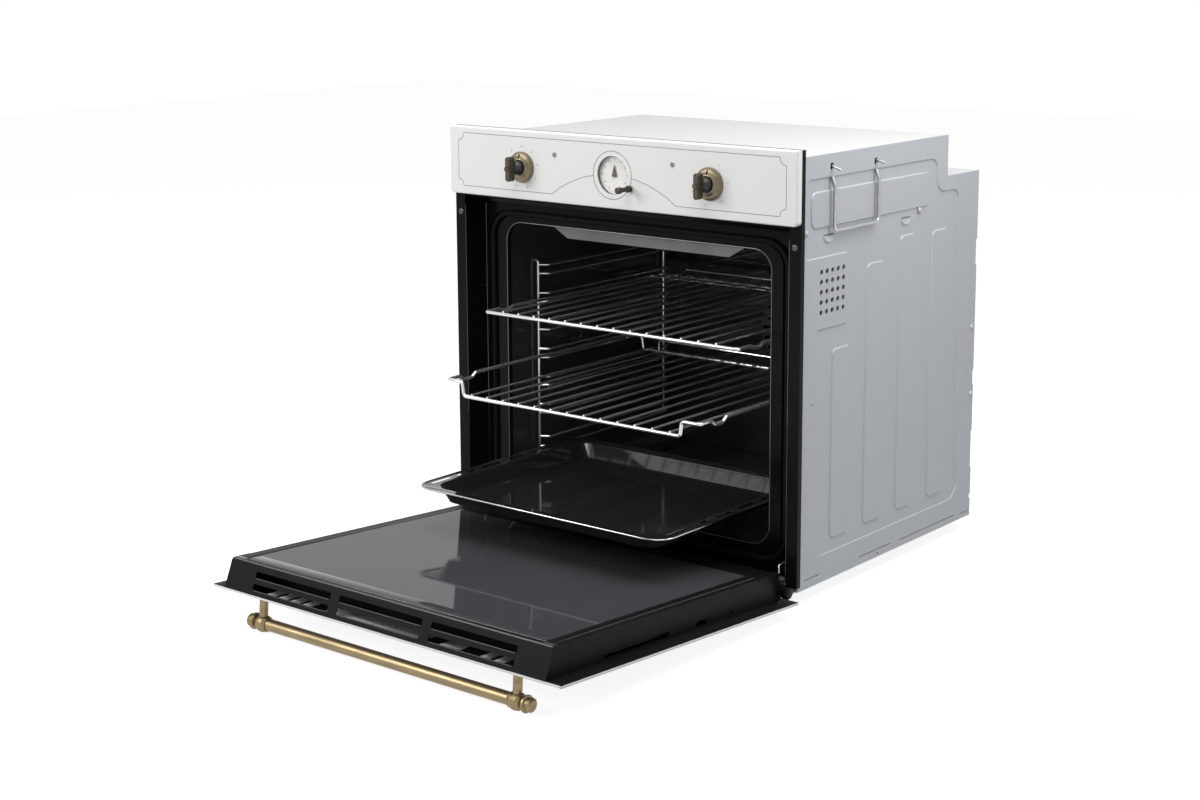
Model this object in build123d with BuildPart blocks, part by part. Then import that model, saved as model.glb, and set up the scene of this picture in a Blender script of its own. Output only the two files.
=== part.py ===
from build123d import *
import os
from math import radians, sin, cos

os.makedirs("parts", exist_ok=True)

# Built-in electric oven with a drop-down door, in millimetres.
# X runs to the right seen from the front, Y runs back and Z runs up.
# Y is 0 at the back of the front flange, Z is 0 under the body.

# Overall sizes of the front and the body
FRONT_WIDTH = 595.0
FRONT_TOP = 595.0
FACE_Y = -19.0
BODY_REAR_Y = 497.0
HALF = FRONT_WIDTH / 2
SIDE_FACE_X = HALF - 23.0
BODY_TOP = FRONT_TOP - 14.0
STEP_Y = BODY_REAR_Y - 93.0
STEP_TOP = BODY_TOP - 59.0
SHEET = 1.2

# Control panel, dial and knobs
PANEL_BOTTOM = FRONT_TOP - 97.0
PANEL_DEPTH = 10.5
PANEL_SHEET = 2.0
PANEL_CORNER = 6.0
KNOB_X = 161.5
KNOB_Z = PANEL_BOTTOM + 45.8
DIAL_Z = PANEL_BOTTOM + 45.5
DIAL_RADIUS = 26.4
STEM_X = 30.5
STEM_Z = DIAL_Z - 16.0
LAMP_X = 101.5
LAMP_Z = DIAL_Z + 21.5
SHAFT_RADIUS = 3.0
RUNNING_GAP = 0.05

# Front frame with the seat that the door closes into
FRAME_Y = -8.5
FRAME_SHEET = 1.5
FRAME_BOTTOM = 19.0
SEAT_TOP = PANEL_BOTTOM - 3.5
SEAT_Y = 26.0
SEAT_HALF_FRONT = HALF - 17.5
SEAT_HALF_REAR = SEAT_HALF_FRONT - 3.4
MOUTH_HALF = HALF - 67.0
MOUTH_BOTTOM = 56.0
MOUTH_TOP = SEAT_TOP - 37.5
MOUTH_CORNER = 28.0
GROOVE_INNER_HALF = MOUTH_HALF + 17.5
GROOVE_OUTER_HALF = MOUTH_HALF + 33.5
GROOVE_BOTTOM = MOUTH_BOTTOM - 24.0
GROOVE_TOP = MOUTH_TOP + 19.0
GROOVE_WIDTH = 14.0
GROOVE_DEPTH = 3.0
FIXING_X = HALF - 9.5
FIXING_Z = SEAT_TOP - 24.5

# Cavity
CAVITY_HALF = MOUTH_HALF + 4.5
CAVITY_BOTTOM = MOUTH_BOTTOM - 6.0
CAVITY_TOP = MOUTH_TOP + 3.0
CAVITY_BACK = BODY_REAR_Y - 52.0
CAVITY_CORNER = 27.0
FAN_Z = CAVITY_BOTTOM + 206.0
FAN_PAN_RADIUS = 72.0
FAN_PAN_DEPTH = 32.0

# Ladders that carry the shelves
LADDER_WALL_X = CAVITY_HALF - 5.4
LADDER_RUN_X = CAVITY_HALF - 19.0
LADDER_FRONT_Y = 93.0
LADDER_REAR_Y = CAVITY_BACK - 45.0
LADDER_WIRE = 4.0
LADDER_LOW_Z = CAVITY_BOTTOM + 42.0
TOP_RUNNER_Z = CAVITY_TOP - 75.5
RUNNER_GAP = 13.0
TRAY_RUNNER_Z = LADDER_LOW_Z + 17.1
TRAY_RUNNER_GAP = 15.0
PAIRS = 6
LOWEST_PAIR_RISE = 49.4
TRAY_PAIR_TOP = TRAY_RUNNER_Z + TRAY_RUNNER_GAP
RUNNER_PITCH = (TOP_RUNNER_Z - TRAY_PAIR_TOP - LOWEST_PAIR_RISE) / (PAIRS - 1)

# Shelves and tray, each on its runners and out as far as the photograph shows
SHELF_FRONT_Y = -34.2
SHELF_DEPTH = CAVITY_BACK - 35.0
SHELF_Z = TOP_RUNNER_Z - RUNNER_PITCH - RUNNER_GAP + 4.4
SHELF_RAIL_X = LADDER_RUN_X + 3.0
SHELF_RODS = 14
SHELF_ROD_INSET = 33.75
SHELF_PITCH = 2 * (SHELF_RAIL_X - SHELF_ROD_INSET) / (SHELF_RODS - 1)
SHELF_REAR_RAIL_X = SHELF_RAIL_X - 53.0
GRID_FRONT_Y = -116.7
GRID_RAIL_Z = TOP_RUNNER_Z - 3 * RUNNER_PITCH - RUNNER_GAP + 4.7
GRID_FLOOR_Z = GRID_RAIL_Z - 19.7
GRID_RAIL_X = LADDER_RUN_X + 2.5
GRID_END_X = GRID_RAIL_X - 27.8
GRID_RODS = 13
GRID_ROD_INSET = 18.5
GRID_PITCH = 2 * (GRID_END_X - GRID_ROD_INSET) / (GRID_RODS - 1)
GRID_REAR_RAIL_X = GRID_END_X - 33.7
TRAY_FRONT_Y = -195.0
TRAY_DEPTH = 358.0
TRAY_HALF = LADDER_RUN_X + 0.7
TRAY_RIM_Z = TRAY_RUNNER_Z + 4.3
TRAY_BASIN_DEPTH = 17.0

# Door, in its own measures: u up from the foot of the front, n in from the outer face
PIVOT_Y = -4.6
PIVOT_Z = 11.0
OPEN_ANGLE = 86.33
DOOR_FOOT_Z = 1.5
DOOR_HEIGHT = SEAT_TOP - DOOR_FOOT_Z
SKIN = 3.0
SKIN_LOW = 5.6
DOOR_BODY_HALF = SEAT_HALF_REAR - 3.1
DOOR_BODY_LOW = 20.0
DOOR_BODY_IN = 40.5
GLASS_HALF = DOOR_BODY_HALF - 11.5
GLASS_LOW = 65.0
GLASS_HIGH = DOOR_HEIGHT - 43.0
GLASS = 4.0
GLASS_IN = 41.0
DOOR_SHEET = 1.5
HANDLE_U = DOOR_HEIGHT - 18.4
HANDLE_OUT = 37.0
HANDLE_RADIUS = 8.0
HANDLE_POST_X = HALF - 80.0

# Hinges: a claw held by the frame, between the cheeks of a channel in the door
CLAW_X = DOOR_BODY_HALF - 6.3
CLAW = 3.0
CHEEK_IN_X = CLAW_X - 1.8
CHEEK_OUT_X = CLAW_X + CLAW + 1.8
CHEEK = 1.2
PIN_RADIUS = 3.0

# Wires are six-sided here
WIRE_SIDES = 6

# Direction up the open door, direction in through it, and its lower outer edge
TURN = radians(OPEN_ANGLE)
DOOR_UP = Vector(0, -sin(TURN), cos(TURN))
DOOR_IN = Vector(0, cos(TURN), sin(TURN))
PIVOT = Vector(0, PIVOT_Y, PIVOT_Z)
DOOR_EDGE = PIVOT + DOOR_IN * (FACE_Y - PIVOT_Y) + DOOR_UP * (DOOR_FOOT_Z - PIVOT_Z)


def front(y):
    """A plane that faces the user, with X and Z as its axes."""
    return Plane.XZ.offset(-y)


def door_face(n):
    """A plane across the door, with X and u as its axes, facing out of the door."""
    return Plane(origin=DOOR_EDGE + DOOR_IN * n, x_dir=(1, 0, 0), z_dir=-DOOR_IN)


def door_side(x):
    """A plane along the door, with u and n as its axes. Extrusions run towards -X."""
    return Plane(origin=DOOR_EDGE + Vector(x, 0, 0), x_dir=DOOR_UP, z_dir=(-1, 0, 0))


def door_point(x, u, n):
    """A point of the door in the frame of the whole oven."""
    return DOOR_EDGE + Vector(x, 0, 0) + DOOR_UP * u + DOOR_IN * n


def wire(points, width, sides=WIRE_SIDES):
    """Adds one bent wire, mitred at each corner."""
    with BuildLine() as path:
        Polyline(*points)
    with BuildSketch(Plane(origin=path.line @ 0, z_dir=path.line % 0)) as section:
        RegularPolygon(width / 2, sides)
    sweep(section.sketch, path=path.wires()[0], transition=Transition.RIGHT)


def box(x, y, z, mode=Mode.ADD):
    """Adds or takes a block between two values on each axis."""
    with Locations(((x[0] + x[1]) / 2, (y[0] + y[1]) / 2, (z[0] + z[1]) / 2)):
        Box(x[1] - x[0], y[1] - y[0], z[1] - z[0], mode=mode)


def ring_sketch(half, low, high, corner):
    """A rounded rectangle about X = 0 between two heights."""
    with Locations((0, (low + high) / 2)):
        RectangleRounded(2 * half, high - low, corner)


# Control panel: a pressed shell with its lower corners rounded
with BuildPart() as control_panel:
    with BuildSketch(front(FACE_Y)) as panel_outline:
        with Locations((0, (PANEL_BOTTOM + FRONT_TOP) / 2)):
            Rectangle(FRONT_WIDTH, FRONT_TOP - PANEL_BOTTOM)
        fillet(panel_outline.vertices().sort_by(Axis.Y)[:2], PANEL_CORNER)
    extrude(amount=-PANEL_DEPTH)
    fillet(control_panel.edges().group_by(Axis.Y)[0], PANEL_SHEET)
    with BuildSketch(front(FACE_Y + PANEL_SHEET)):
        ring_sketch(
            HALF - PANEL_SHEET,
            PANEL_BOTTOM + PANEL_SHEET,
            FRONT_TOP - PANEL_SHEET,
            PANEL_CORNER - PANEL_SHEET,
        )
    extrude(amount=-PANEL_DEPTH, mode=Mode.SUBTRACT)
    with BuildSketch(front(FACE_Y)):
        with Locations((0, DIAL_Z)):
            Circle(DIAL_RADIUS)
        with Locations((-KNOB_X, KNOB_Z), (KNOB_X, KNOB_Z)):
            Circle(SHAFT_RADIUS + 1)
        with Locations((STEM_X, STEM_Z), (-LAMP_X, LAMP_Z), (LAMP_X, LAMP_Z)):
            Circle(SHAFT_RADIUS + 0.3)
    extrude(amount=-2 * PANEL_SHEET, mode=Mode.SUBTRACT)
control_panel.part.label = "control_panel"
export_step(control_panel.part, "parts/control_panel.step")

# Front frame: posts, upper field behind the panel, and the seat round the mouth
POST_PROFILE = [
    (HALF, 0),
    (HALF, FRAME_Y),
    (SEAT_HALF_FRONT, FRAME_Y),
    (SEAT_HALF_REAR, SEAT_Y),
    (GROOVE_OUTER_HALF, SEAT_Y),
    (GROOVE_OUTER_HALF, SEAT_Y + FRAME_SHEET),
    (SEAT_HALF_REAR + FRAME_SHEET, SEAT_Y + FRAME_SHEET),
    (SEAT_HALF_FRONT + FRAME_SHEET, FRAME_Y + FRAME_SHEET),
    (HALF - FRAME_SHEET, FRAME_Y + FRAME_SHEET),
    (HALF - FRAME_SHEET, 0),
]
ROOF_SHOULDER = (12.0, SEAT_TOP - 3.5)
ROOF_STEP = (14.0, SEAT_TOP - 8.5)
ROOF_REAR_Z = SEAT_TOP - 10.5
SEAT_ROOF = [
    (FRAME_Y, SEAT_TOP),
    ROOF_SHOULDER,
    ROOF_STEP,
    (SEAT_Y, ROOF_REAR_Z),
    (SEAT_Y, GROOVE_TOP),
    (SEAT_Y + FRAME_SHEET, GROOVE_TOP),
    (SEAT_Y + FRAME_SHEET, ROOF_REAR_Z + FRAME_SHEET),
    (ROOF_STEP[0] + FRAME_SHEET, ROOF_STEP[1] + FRAME_SHEET),
    (ROOF_SHOULDER[0] + FRAME_SHEET, ROOF_SHOULDER[1] + FRAME_SHEET),
    (FRAME_Y + FRAME_SHEET, SEAT_TOP + FRAME_SHEET),
    (FRAME_Y, SEAT_TOP + FRAME_SHEET),
]
SLOT_LOW_X = CHEEK_IN_X + 0.3
SLOT_HIGH_X = CHEEK_OUT_X - 0.2
SLOT_TOP = 84.0
with BuildPart() as front_frame:
    with BuildSketch(Plane.XY.offset(FRAME_BOTTOM)):
        with BuildLine():
            Polyline(*POST_PROFILE, close=True)
        make_face()
        mirror(about=Plane.YZ)
    extrude(amount=SEAT_TOP - FRAME_BOTTOM)
    with BuildSketch(Plane.YZ):
        with BuildLine():
            Polyline(*SEAT_ROOF, close=True)
        make_face()
    extrude(amount=SEAT_HALF_REAR + FRAME_SHEET, both=True)
    with BuildSketch(front(FRAME_Y)):
        with Locations((0, (SEAT_TOP + FRONT_TOP) / 2)):
            Rectangle(FRONT_WIDTH, FRONT_TOP - SEAT_TOP)
    extrude(amount=-FRAME_SHEET)
    for side in (-1, 1):
        edge_x = side * (HALF - FRAME_SHEET / 2)
        with Locations((edge_x, FRAME_Y / 2, (SEAT_TOP + FRONT_TOP) / 2)):
            Box(FRAME_SHEET, -FRAME_Y, FRONT_TOP - SEAT_TOP)
    box(
        (-HALF, HALF),
        (FRAME_Y, 0),
        (FRONT_TOP - FRAME_SHEET, FRONT_TOP),
    )
    with BuildSketch(front(SEAT_Y)):
        with Locations((0, (FRAME_BOTTOM + GROOVE_TOP) / 2)):
            Rectangle(2 * GROOVE_OUTER_HALF, GROOVE_TOP - FRAME_BOTTOM)
        ring_sketch(
            GROOVE_OUTER_HALF,
            GROOVE_BOTTOM,
            GROOVE_TOP,
            MOUTH_CORNER + GROOVE_WIDTH,
        )
        with Locations((0, (MOUTH_BOTTOM + MOUTH_TOP) / 2)):
            RectangleRounded(
                2 * MOUTH_HALF,
                MOUTH_TOP - MOUTH_BOTTOM,
                MOUTH_CORNER,
                mode=Mode.SUBTRACT,
            )
    extrude(amount=-FRAME_SHEET)
    # The groove for the seal is pressed back out of that field
    with BuildSketch(front(SEAT_Y)):
        ring_sketch(
            GROOVE_OUTER_HALF + SHEET,
            GROOVE_BOTTOM - SHEET,
            GROOVE_TOP + SHEET,
            MOUTH_CORNER + GROOVE_WIDTH + SHEET,
        )
        with Locations((0, (GROOVE_BOTTOM + GROOVE_TOP) / 2)):
            RectangleRounded(
                2 * GROOVE_INNER_HALF - 2 * SHEET,
                GROOVE_TOP - GROOVE_BOTTOM - 2 * GROOVE_WIDTH + 2 * SHEET - 3,
                MOUTH_CORNER,
                mode=Mode.SUBTRACT,
            )
    extrude(amount=-(GROOVE_DEPTH + FRAME_SHEET))
    with BuildSketch(front(SEAT_Y)):
        ring_sketch(
            GROOVE_OUTER_HALF,
            GROOVE_BOTTOM,
            GROOVE_TOP,
            MOUTH_CORNER + GROOVE_WIDTH,
        )
        with Locations((0, (GROOVE_BOTTOM + GROOVE_TOP) / 2)):
            RectangleRounded(
                2 * GROOVE_INNER_HALF,
                GROOVE_TOP - GROOVE_BOTTOM - 2 * GROOVE_WIDTH + 3,
                MOUTH_CORNER,
                mode=Mode.SUBTRACT,
            )
    extrude(amount=-GROOVE_DEPTH, mode=Mode.SUBTRACT)
    # A turned lip runs round the mouth into the cavity
    with BuildSketch(front(SEAT_Y)):
        ring_sketch(
            MOUTH_HALF + SHEET,
            MOUTH_BOTTOM - SHEET,
            MOUTH_TOP + SHEET,
            MOUTH_CORNER + SHEET,
        )
        with Locations((0, (MOUTH_BOTTOM + MOUTH_TOP) / 2)):
            RectangleRounded(
                2 * MOUTH_HALF,
                MOUTH_TOP - MOUTH_BOTTOM,
                MOUTH_CORNER,
                mode=Mode.SUBTRACT,
            )
    extrude(amount=-8)
    # Slots for the hinge claws, air outlet slots and holes for what stands in front
    for side in (-1, 1):
        low_x = min(side * SLOT_LOW_X, side * SLOT_HIGH_X)
        high_x = max(side * SLOT_LOW_X, side * SLOT_HIGH_X)
        box((low_x, high_x), (SEAT_Y - 2, SEAT_Y + 6), (0, SLOT_TOP), Mode.SUBTRACT)
    with BuildSketch(Plane.XY.offset(SEAT_TOP - 15)):
        with GridLocations(88, 1, 5, 1):
            with Locations((0, 20.5)):
                RectangleRounded(74, 5, 2)
    extrude(amount=10, mode=Mode.SUBTRACT)
    with BuildSketch(front(FRAME_Y)):
        with Locations((-FIXING_X, FIXING_Z), (FIXING_X, FIXING_Z)):
            Circle(2.6)
        with Locations((0, DIAL_Z)):
            Circle(DIAL_RADIUS + 2)
        with Locations((-KNOB_X, KNOB_Z), (KNOB_X, KNOB_Z)):
            Circle(SHAFT_RADIUS + 1)
        with Locations((STEM_X, STEM_Z), (-LAMP_X, LAMP_Z), (LAMP_X, LAMP_Z)):
            Circle(SHAFT_RADIUS + 0.3)
    extrude(amount=-2 * FRAME_SHEET, mode=Mode.SUBTRACT)
front_frame.part.label = "front_frame"
export_step(front_frame.part, "parts/front_frame.step")

# Door seal, lying in the groove of the frame
SEAL_IN = 4.0
SEAL_WIDTH = 7.0
with BuildPart() as door_seal:
    with BuildSketch(front(SEAT_Y + GROOVE_DEPTH)):
        ring_sketch(
            GROOVE_OUTER_HALF - SEAL_IN,
            GROOVE_BOTTOM + 3,
            GROOVE_TOP - 3,
            MOUTH_CORNER + GROOVE_WIDTH - 3,
        )
        with Locations((0, (GROOVE_BOTTOM + GROOVE_TOP) / 2)):
            RectangleRounded(
                2 * (GROOVE_OUTER_HALF - SEAL_IN - SEAL_WIDTH),
                GROOVE_TOP - GROOVE_BOTTOM - 6 - 2 * SEAL_WIDTH,
                MOUTH_CORNER + GROOVE_WIDTH - 3 - SEAL_WIDTH,
                mode=Mode.SUBTRACT,
            )
    extrude(amount=GROOVE_DEPTH + 3.4)
    chamfer(door_seal.edges().group_by(Axis.Y)[0], 1.5)
door_seal.part.label = "door_seal"
export_step(door_seal.part, "parts/door_seal.step")

# Cavity liner with the pan for the fan
LINER_FRONT = SEAT_Y + FRAME_SHEET
GRILL_Z = CAVITY_TOP - 13.0
HEATER_TAIL_X = 30.0
with BuildPart() as cavity_liner:
    with BuildSketch(front(LINER_FRONT)):
        ring_sketch(
            CAVITY_HALF + SHEET,
            CAVITY_BOTTOM - SHEET,
            CAVITY_TOP + SHEET,
            CAVITY_CORNER + SHEET,
        )
    extrude(amount=-(CAVITY_BACK + SHEET - LINER_FRONT))
    with BuildSketch(front(CAVITY_BACK)):
        with Locations((0, FAN_Z)):
            Circle(FAN_PAN_RADIUS + SHEET)
    extrude(amount=-(FAN_PAN_DEPTH + SHEET))
    with BuildSketch(front(LINER_FRONT)):
        ring_sketch(CAVITY_HALF, CAVITY_BOTTOM, CAVITY_TOP, CAVITY_CORNER)
    extrude(amount=-(CAVITY_BACK - LINER_FRONT), mode=Mode.SUBTRACT)
    with BuildSketch(front(CAVITY_BACK - 1)):
        with Locations((0, FAN_Z)):
            Circle(FAN_PAN_RADIUS)
    extrude(amount=-(FAN_PAN_DEPTH + 1), mode=Mode.SUBTRACT)
    with BuildSketch(front(CAVITY_BACK)):
        with Locations((0, FAN_Z)):
            Circle(SHAFT_RADIUS + 1)
        with Locations((-HEATER_TAIL_X, GRILL_Z), (HEATER_TAIL_X, GRILL_Z)):
            Circle(4)
    extrude(amount=-60, mode=Mode.SUBTRACT)
cavity_liner.part.label = "cavity_liner"
export_step(cavity_liner.part, "parts/cavity_liner.step")

# Fan grille, wheel and motor
GRILLE_RADIUS = 71.9
GRILLE_RIM = 6.0
with BuildPart() as fan_grille:
    with BuildSketch(front(CAVITY_BACK)):
        with Locations((0, FAN_Z)):
            Circle(GRILLE_RADIUS)
    extrude(amount=-GRILLE_RIM)
    chamfer(fan_grille.edges().group_by(Axis.Y)[0], 1)
    with BuildSketch(front(CAVITY_BACK + SHEET)):
        with Locations((0, FAN_Z)):
            Circle(GRILLE_RADIUS - SHEET - 1)
    extrude(amount=-GRILLE_RIM, mode=Mode.SUBTRACT)
    with BuildSketch(front(CAVITY_BACK - 1)):
        with Locations((0, FAN_Z)):
            with PolarLocations(27, 12):
                Rectangle(22, 5)
            with PolarLocations(56, 24):
                Rectangle(22, 5)
    extrude(amount=-3, mode=Mode.SUBTRACT)
fan_grille.part.label = "fan_grille"
export_step(fan_grille.part, "parts/fan_grille.step")

WHEEL_BACK = CAVITY_BACK + 26
with BuildPart() as fan_wheel:
    with BuildSketch(front(WHEEL_BACK)):
        with Locations((0, FAN_Z)):
            Circle(56)
    extrude(amount=1.2)
    with BuildSketch(front(WHEEL_BACK)):
        with Locations((0, FAN_Z)):
            with PolarLocations(44, 10):
                Rectangle(22, 1.5, rotation=35)
    extrude(amount=20)
    with BuildSketch(front(WHEEL_BACK)):
        with Locations((0, FAN_Z)):
            Circle(8)
    extrude(amount=10)
    with BuildSketch(front(WHEEL_BACK)):
        with Locations((0, FAN_Z)):
            Circle(SHAFT_RADIUS)
    extrude(amount=-14)
fan_wheel.part.label = "fan_wheel"
export_step(fan_wheel.part, "parts/fan_wheel.step")

MOTOR_FRONT = CAVITY_BACK + FAN_PAN_DEPTH + SHEET
with BuildPart() as fan_motor:
    with BuildSketch(front(MOTOR_FRONT)):
        with Locations((0, FAN_Z)):
            RectangleRounded(76, 60, 6)
    extrude(amount=-8)
    with BuildSketch(front(MOTOR_FRONT)):
        with Locations((0, FAN_Z)):
            Circle(26)
    extrude(amount=-36)
    with BuildSketch(front(MOTOR_FRONT)):
        with Locations((0, FAN_Z)):
            Circle(SHAFT_RADIUS + RUNNING_GAP)
    extrude(amount=-12, mode=Mode.SUBTRACT)
fan_motor.part.label = "fan_motor"
export_step(fan_motor.part, "parts/fan_motor.step")

# Heating elements and the reflector strip in front of the grill
HEATER_WIRE = 6.5
GRILL_HALF = CAVITY_HALF - 85.0
GRILL_FRONT_Y = 75.0
GRILL_REAR_Y = CAVITY_BACK - 65.0
half_of_grill = [
    (HEATER_TAIL_X, CAVITY_BACK + 25, GRILL_Z),
    (HEATER_TAIL_X, GRILL_FRONT_Y + 35, GRILL_Z),
    (HEATER_TAIL_X + 60, GRILL_FRONT_Y + 35, GRILL_Z),
    (HEATER_TAIL_X + 60, GRILL_REAR_Y, GRILL_Z),
    (GRILL_HALF, GRILL_REAR_Y, GRILL_Z),
    (GRILL_HALF, GRILL_FRONT_Y, GRILL_Z),
]
GRILL_TURNS = [(-x, y, z) for x, y, z in half_of_grill] + half_of_grill[::-1]
with BuildPart() as grill_heater:
    wire(GRILL_TURNS, HEATER_WIRE, 8)
grill_heater.part.label = "grill_heater"
export_step(grill_heater.part, "parts/grill_heater.step")

BASE_HEATER_Z = CAVITY_BOTTOM - SHEET - HEATER_WIRE / 2
BASE_HEATER_HALF = CAVITY_HALF - 65.0
half_of_base = [
    (HEATER_TAIL_X + 10, CAVITY_BACK - 15, BASE_HEATER_Z),
    (HEATER_TAIL_X + 10, GRILL_REAR_Y, BASE_HEATER_Z),
    (BASE_HEATER_HALF, GRILL_REAR_Y, BASE_HEATER_Z),
    (BASE_HEATER_HALF, GRILL_FRONT_Y + 15, BASE_HEATER_Z),
]
BASE_TURNS = [(-x, y, z) for x, y, z in half_of_base] + half_of_base[::-1]
with BuildPart() as base_heater:
    wire(BASE_TURNS, HEATER_WIRE, 8)
base_heater.part.label = "base_heater"
export_step(base_heater.part, "parts/base_heater.step")

REFLECTOR_Y = 55.0
REFLECTOR_TOP = CAVITY_TOP - 10.0
REFLECTOR_BOTTOM = CAVITY_TOP - 24.0
REFLECTOR_HALF = CAVITY_HALF - 70.0
REFLECTOR_FOOT_HALF = REFLECTOR_HALF - 24.0
with BuildPart() as grill_reflector:
    with BuildSketch(front(REFLECTOR_Y)):
        with BuildLine():
            Polyline(
                (-REFLECTOR_FOOT_HALF, REFLECTOR_BOTTOM),
                (REFLECTOR_FOOT_HALF, REFLECTOR_BOTTOM),
                (REFLECTOR_HALF, REFLECTOR_TOP),
                (REFLECTOR_HALF, CAVITY_TOP),
                (-REFLECTOR_HALF, CAVITY_TOP),
                (-REFLECTOR_HALF, REFLECTOR_TOP),
                close=True,
            )
        make_face()
    extrude(amount=-SHEET)
    box(
        (-REFLECTOR_HALF, REFLECTOR_HALF),
        (REFLECTOR_Y, REFLECTOR_Y + 12),
        (CAVITY_TOP - SHEET, CAVITY_TOP),
    )
grill_reflector.part.label = "grill_reflector"
export_step(grill_reflector.part, "parts/grill_reflector.step")

# Ladders: two uprights and seven pairs of runners on each side
runner_heights = []
for step in range(PAIRS):
    upper = TOP_RUNNER_Z - step * RUNNER_PITCH
    runner_heights += [upper, upper - RUNNER_GAP]
runner_heights += [TRAY_PAIR_TOP, TRAY_RUNNER_Z]
BEND = 9.0


def ladder(side):
    """Adds the wires of one ladder, side being 1 on the right and -1 on the left."""
    for y in (LADDER_FRONT_Y, LADDER_REAR_Y):
        x = side * LADDER_WALL_X
        wire([(x, y, LADDER_LOW_Z), (x, y, TOP_RUNNER_Z + 13.5)], LADDER_WIRE + 1)
        for z in (LADDER_LOW_Z + 8, TOP_RUNNER_Z + 6.5):
            wire([(x, y, z), (side * CAVITY_HALF, y, z)], LADDER_WIRE + 1)
    for z in runner_heights:
        wire(
            [
                (side * (LADDER_WALL_X - 1), LADDER_FRONT_Y, z),
                (side * LADDER_RUN_X, LADDER_FRONT_Y + BEND, z),
                (side * LADDER_RUN_X, LADDER_REAR_Y - BEND, z),
                (side * (LADDER_WALL_X - 1), LADDER_REAR_Y, z),
            ],
            LADDER_WIRE,
        )


with BuildPart() as ladder_right:
    ladder(1)
ladder_right.part.label = "ladder_right"
export_step(ladder_right.part, "parts/ladder_right.step")

with BuildPart() as ladder_left:
    ladder(-1)
ladder_left.part.label = "ladder_left"
export_step(ladder_left.part, "parts/ladder_left.step")

# Side panels: galvanised sheet with pressed fields, beads, straps and air holes
PANEL_FRONT_Y = 28.0
PRESS = 1.0
PANEL_OUTLINE = [
    (PANEL_FRONT_Y, 0),
    (BODY_REAR_Y, 0),
    (BODY_REAR_Y, STEP_TOP),
    (STEP_Y, STEP_TOP),
    (STEP_Y, BODY_TOP),
    (PANEL_FRONT_Y, BODY_TOP),
]
FIELD_OUTLINE = [
    (BODY_REAR_Y - 57, 36),
    (BODY_REAR_Y - 42, 54),
    (BODY_REAR_Y - 57, STEP_TOP - 29),
    (BODY_REAR_Y - 70, STEP_TOP - 20),
    (STEP_Y - 15, STEP_TOP - 20),
    (STEP_Y - 27, STEP_TOP - 10),
    (STEP_Y - 28, STEP_TOP + 20),
    (STEP_Y - 39, BODY_TOP - 30),
    (40, BODY_TOP - 30),
    (40, 38),
]
VENT_FIELD = (87.5, STEP_TOP - 125.5)
VENTS = (103, STEP_TOP - 123)
BEADS = [
    (108, STEP_TOP - 207),
    (196, STEP_TOP - 100),
    (284, STEP_TOP - 73),
    (372, STEP_TOP - 75),
]
BEAD_BOTTOM = 57.0
BEAD_WIDTH = 32.0
BAIL_Y = (98.0, 205.5)
BAIL_Z = BODY_TOP - 28.0
BAIL_X = SIDE_FACE_X + 4.4
BAIL_WIRE = 5.0
STRAP_WIDTH = 9.0


def press_field(side, x_out, sketch):
    """Raises one pressed field above the sheet and hollows it from behind."""
    extrude(sketch.sketch, amount=side * PRESS)
    with BuildSketch(Plane.YZ.offset(side * (x_out - SHEET))) as behind:
        add(offset(sketch.sketch_local, amount=-SHEET, mode=Mode.PRIVATE))
    extrude(behind.sketch, amount=side * PRESS, mode=Mode.SUBTRACT)


def side_panel(side, with_vents):
    """Adds one side panel, side being 1 on the right and -1 on the left."""
    base_x = SIDE_FACE_X - PRESS
    with BuildSketch(Plane.YZ.offset(side * (base_x - SHEET))) as sheet:
        with BuildLine():
            Polyline(*PANEL_OUTLINE, close=True)
        make_face()
    extrude(sheet.sketch, amount=side * SHEET)
    with BuildSketch(Plane.YZ.offset(side * base_x)) as field:
        with BuildLine():
            Polyline(*FIELD_OUTLINE, close=True)
        make_face()
        with Locations((200, STEP_TOP - 13)):
            RectangleRounded(300, 46, 8, mode=Mode.SUBTRACT)
        with Locations(VENT_FIELD):
            RectangleRounded(101, 97, 8, mode=Mode.SUBTRACT)
        for y, top in BEADS:
            with Locations((y, (BEAD_BOTTOM + top) / 2)):
                SlotOverall(top - BEAD_BOTTOM, BEAD_WIDTH, rotation=90, mode=Mode.SUBTRACT)
    press_field(side, base_x, field)
    if with_vents:
        with BuildSketch(Plane.YZ.offset(side * (base_x - 5))) as holes:
            with Locations(VENTS):
                with GridLocations(13.4, 13.4, 5, 5):
                    RegularPolygon(2.7, 8)
        extrude(holes.sketch, amount=side * 10, mode=Mode.SUBTRACT)
    for y in BAIL_Y:
        with BuildSketch(Plane.XZ.offset(-(y + STRAP_WIDTH / 2))) as strap:
            with Locations((side * (SIDE_FACE_X + 1.5), BAIL_Z)):
                RectangleRounded(12, 16, 4)
            with Locations((side * BAIL_X, BAIL_Z)):
                Circle(BAIL_WIRE / 2 + 0.3, mode=Mode.SUBTRACT)
            with Locations((side * (SIDE_FACE_X - 6.4), BAIL_Z)):
                Rectangle(10, 30, mode=Mode.SUBTRACT)
        extrude(strap.sketch, amount=STRAP_WIDTH)


with BuildPart() as side_panel_right:
    side_panel(1, True)
side_panel_right.part.label = "side_panel_right"
export_step(side_panel_right.part, "parts/side_panel_right.step")

with BuildPart() as side_panel_left:
    side_panel(-1, False)
side_panel_left.part.label = "side_panel_left"
export_step(side_panel_left.part, "parts/side_panel_left.step")

BAIL_REACH = 14.0
BAIL_BOTTOM = BAIL_Z - 75.0


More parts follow.
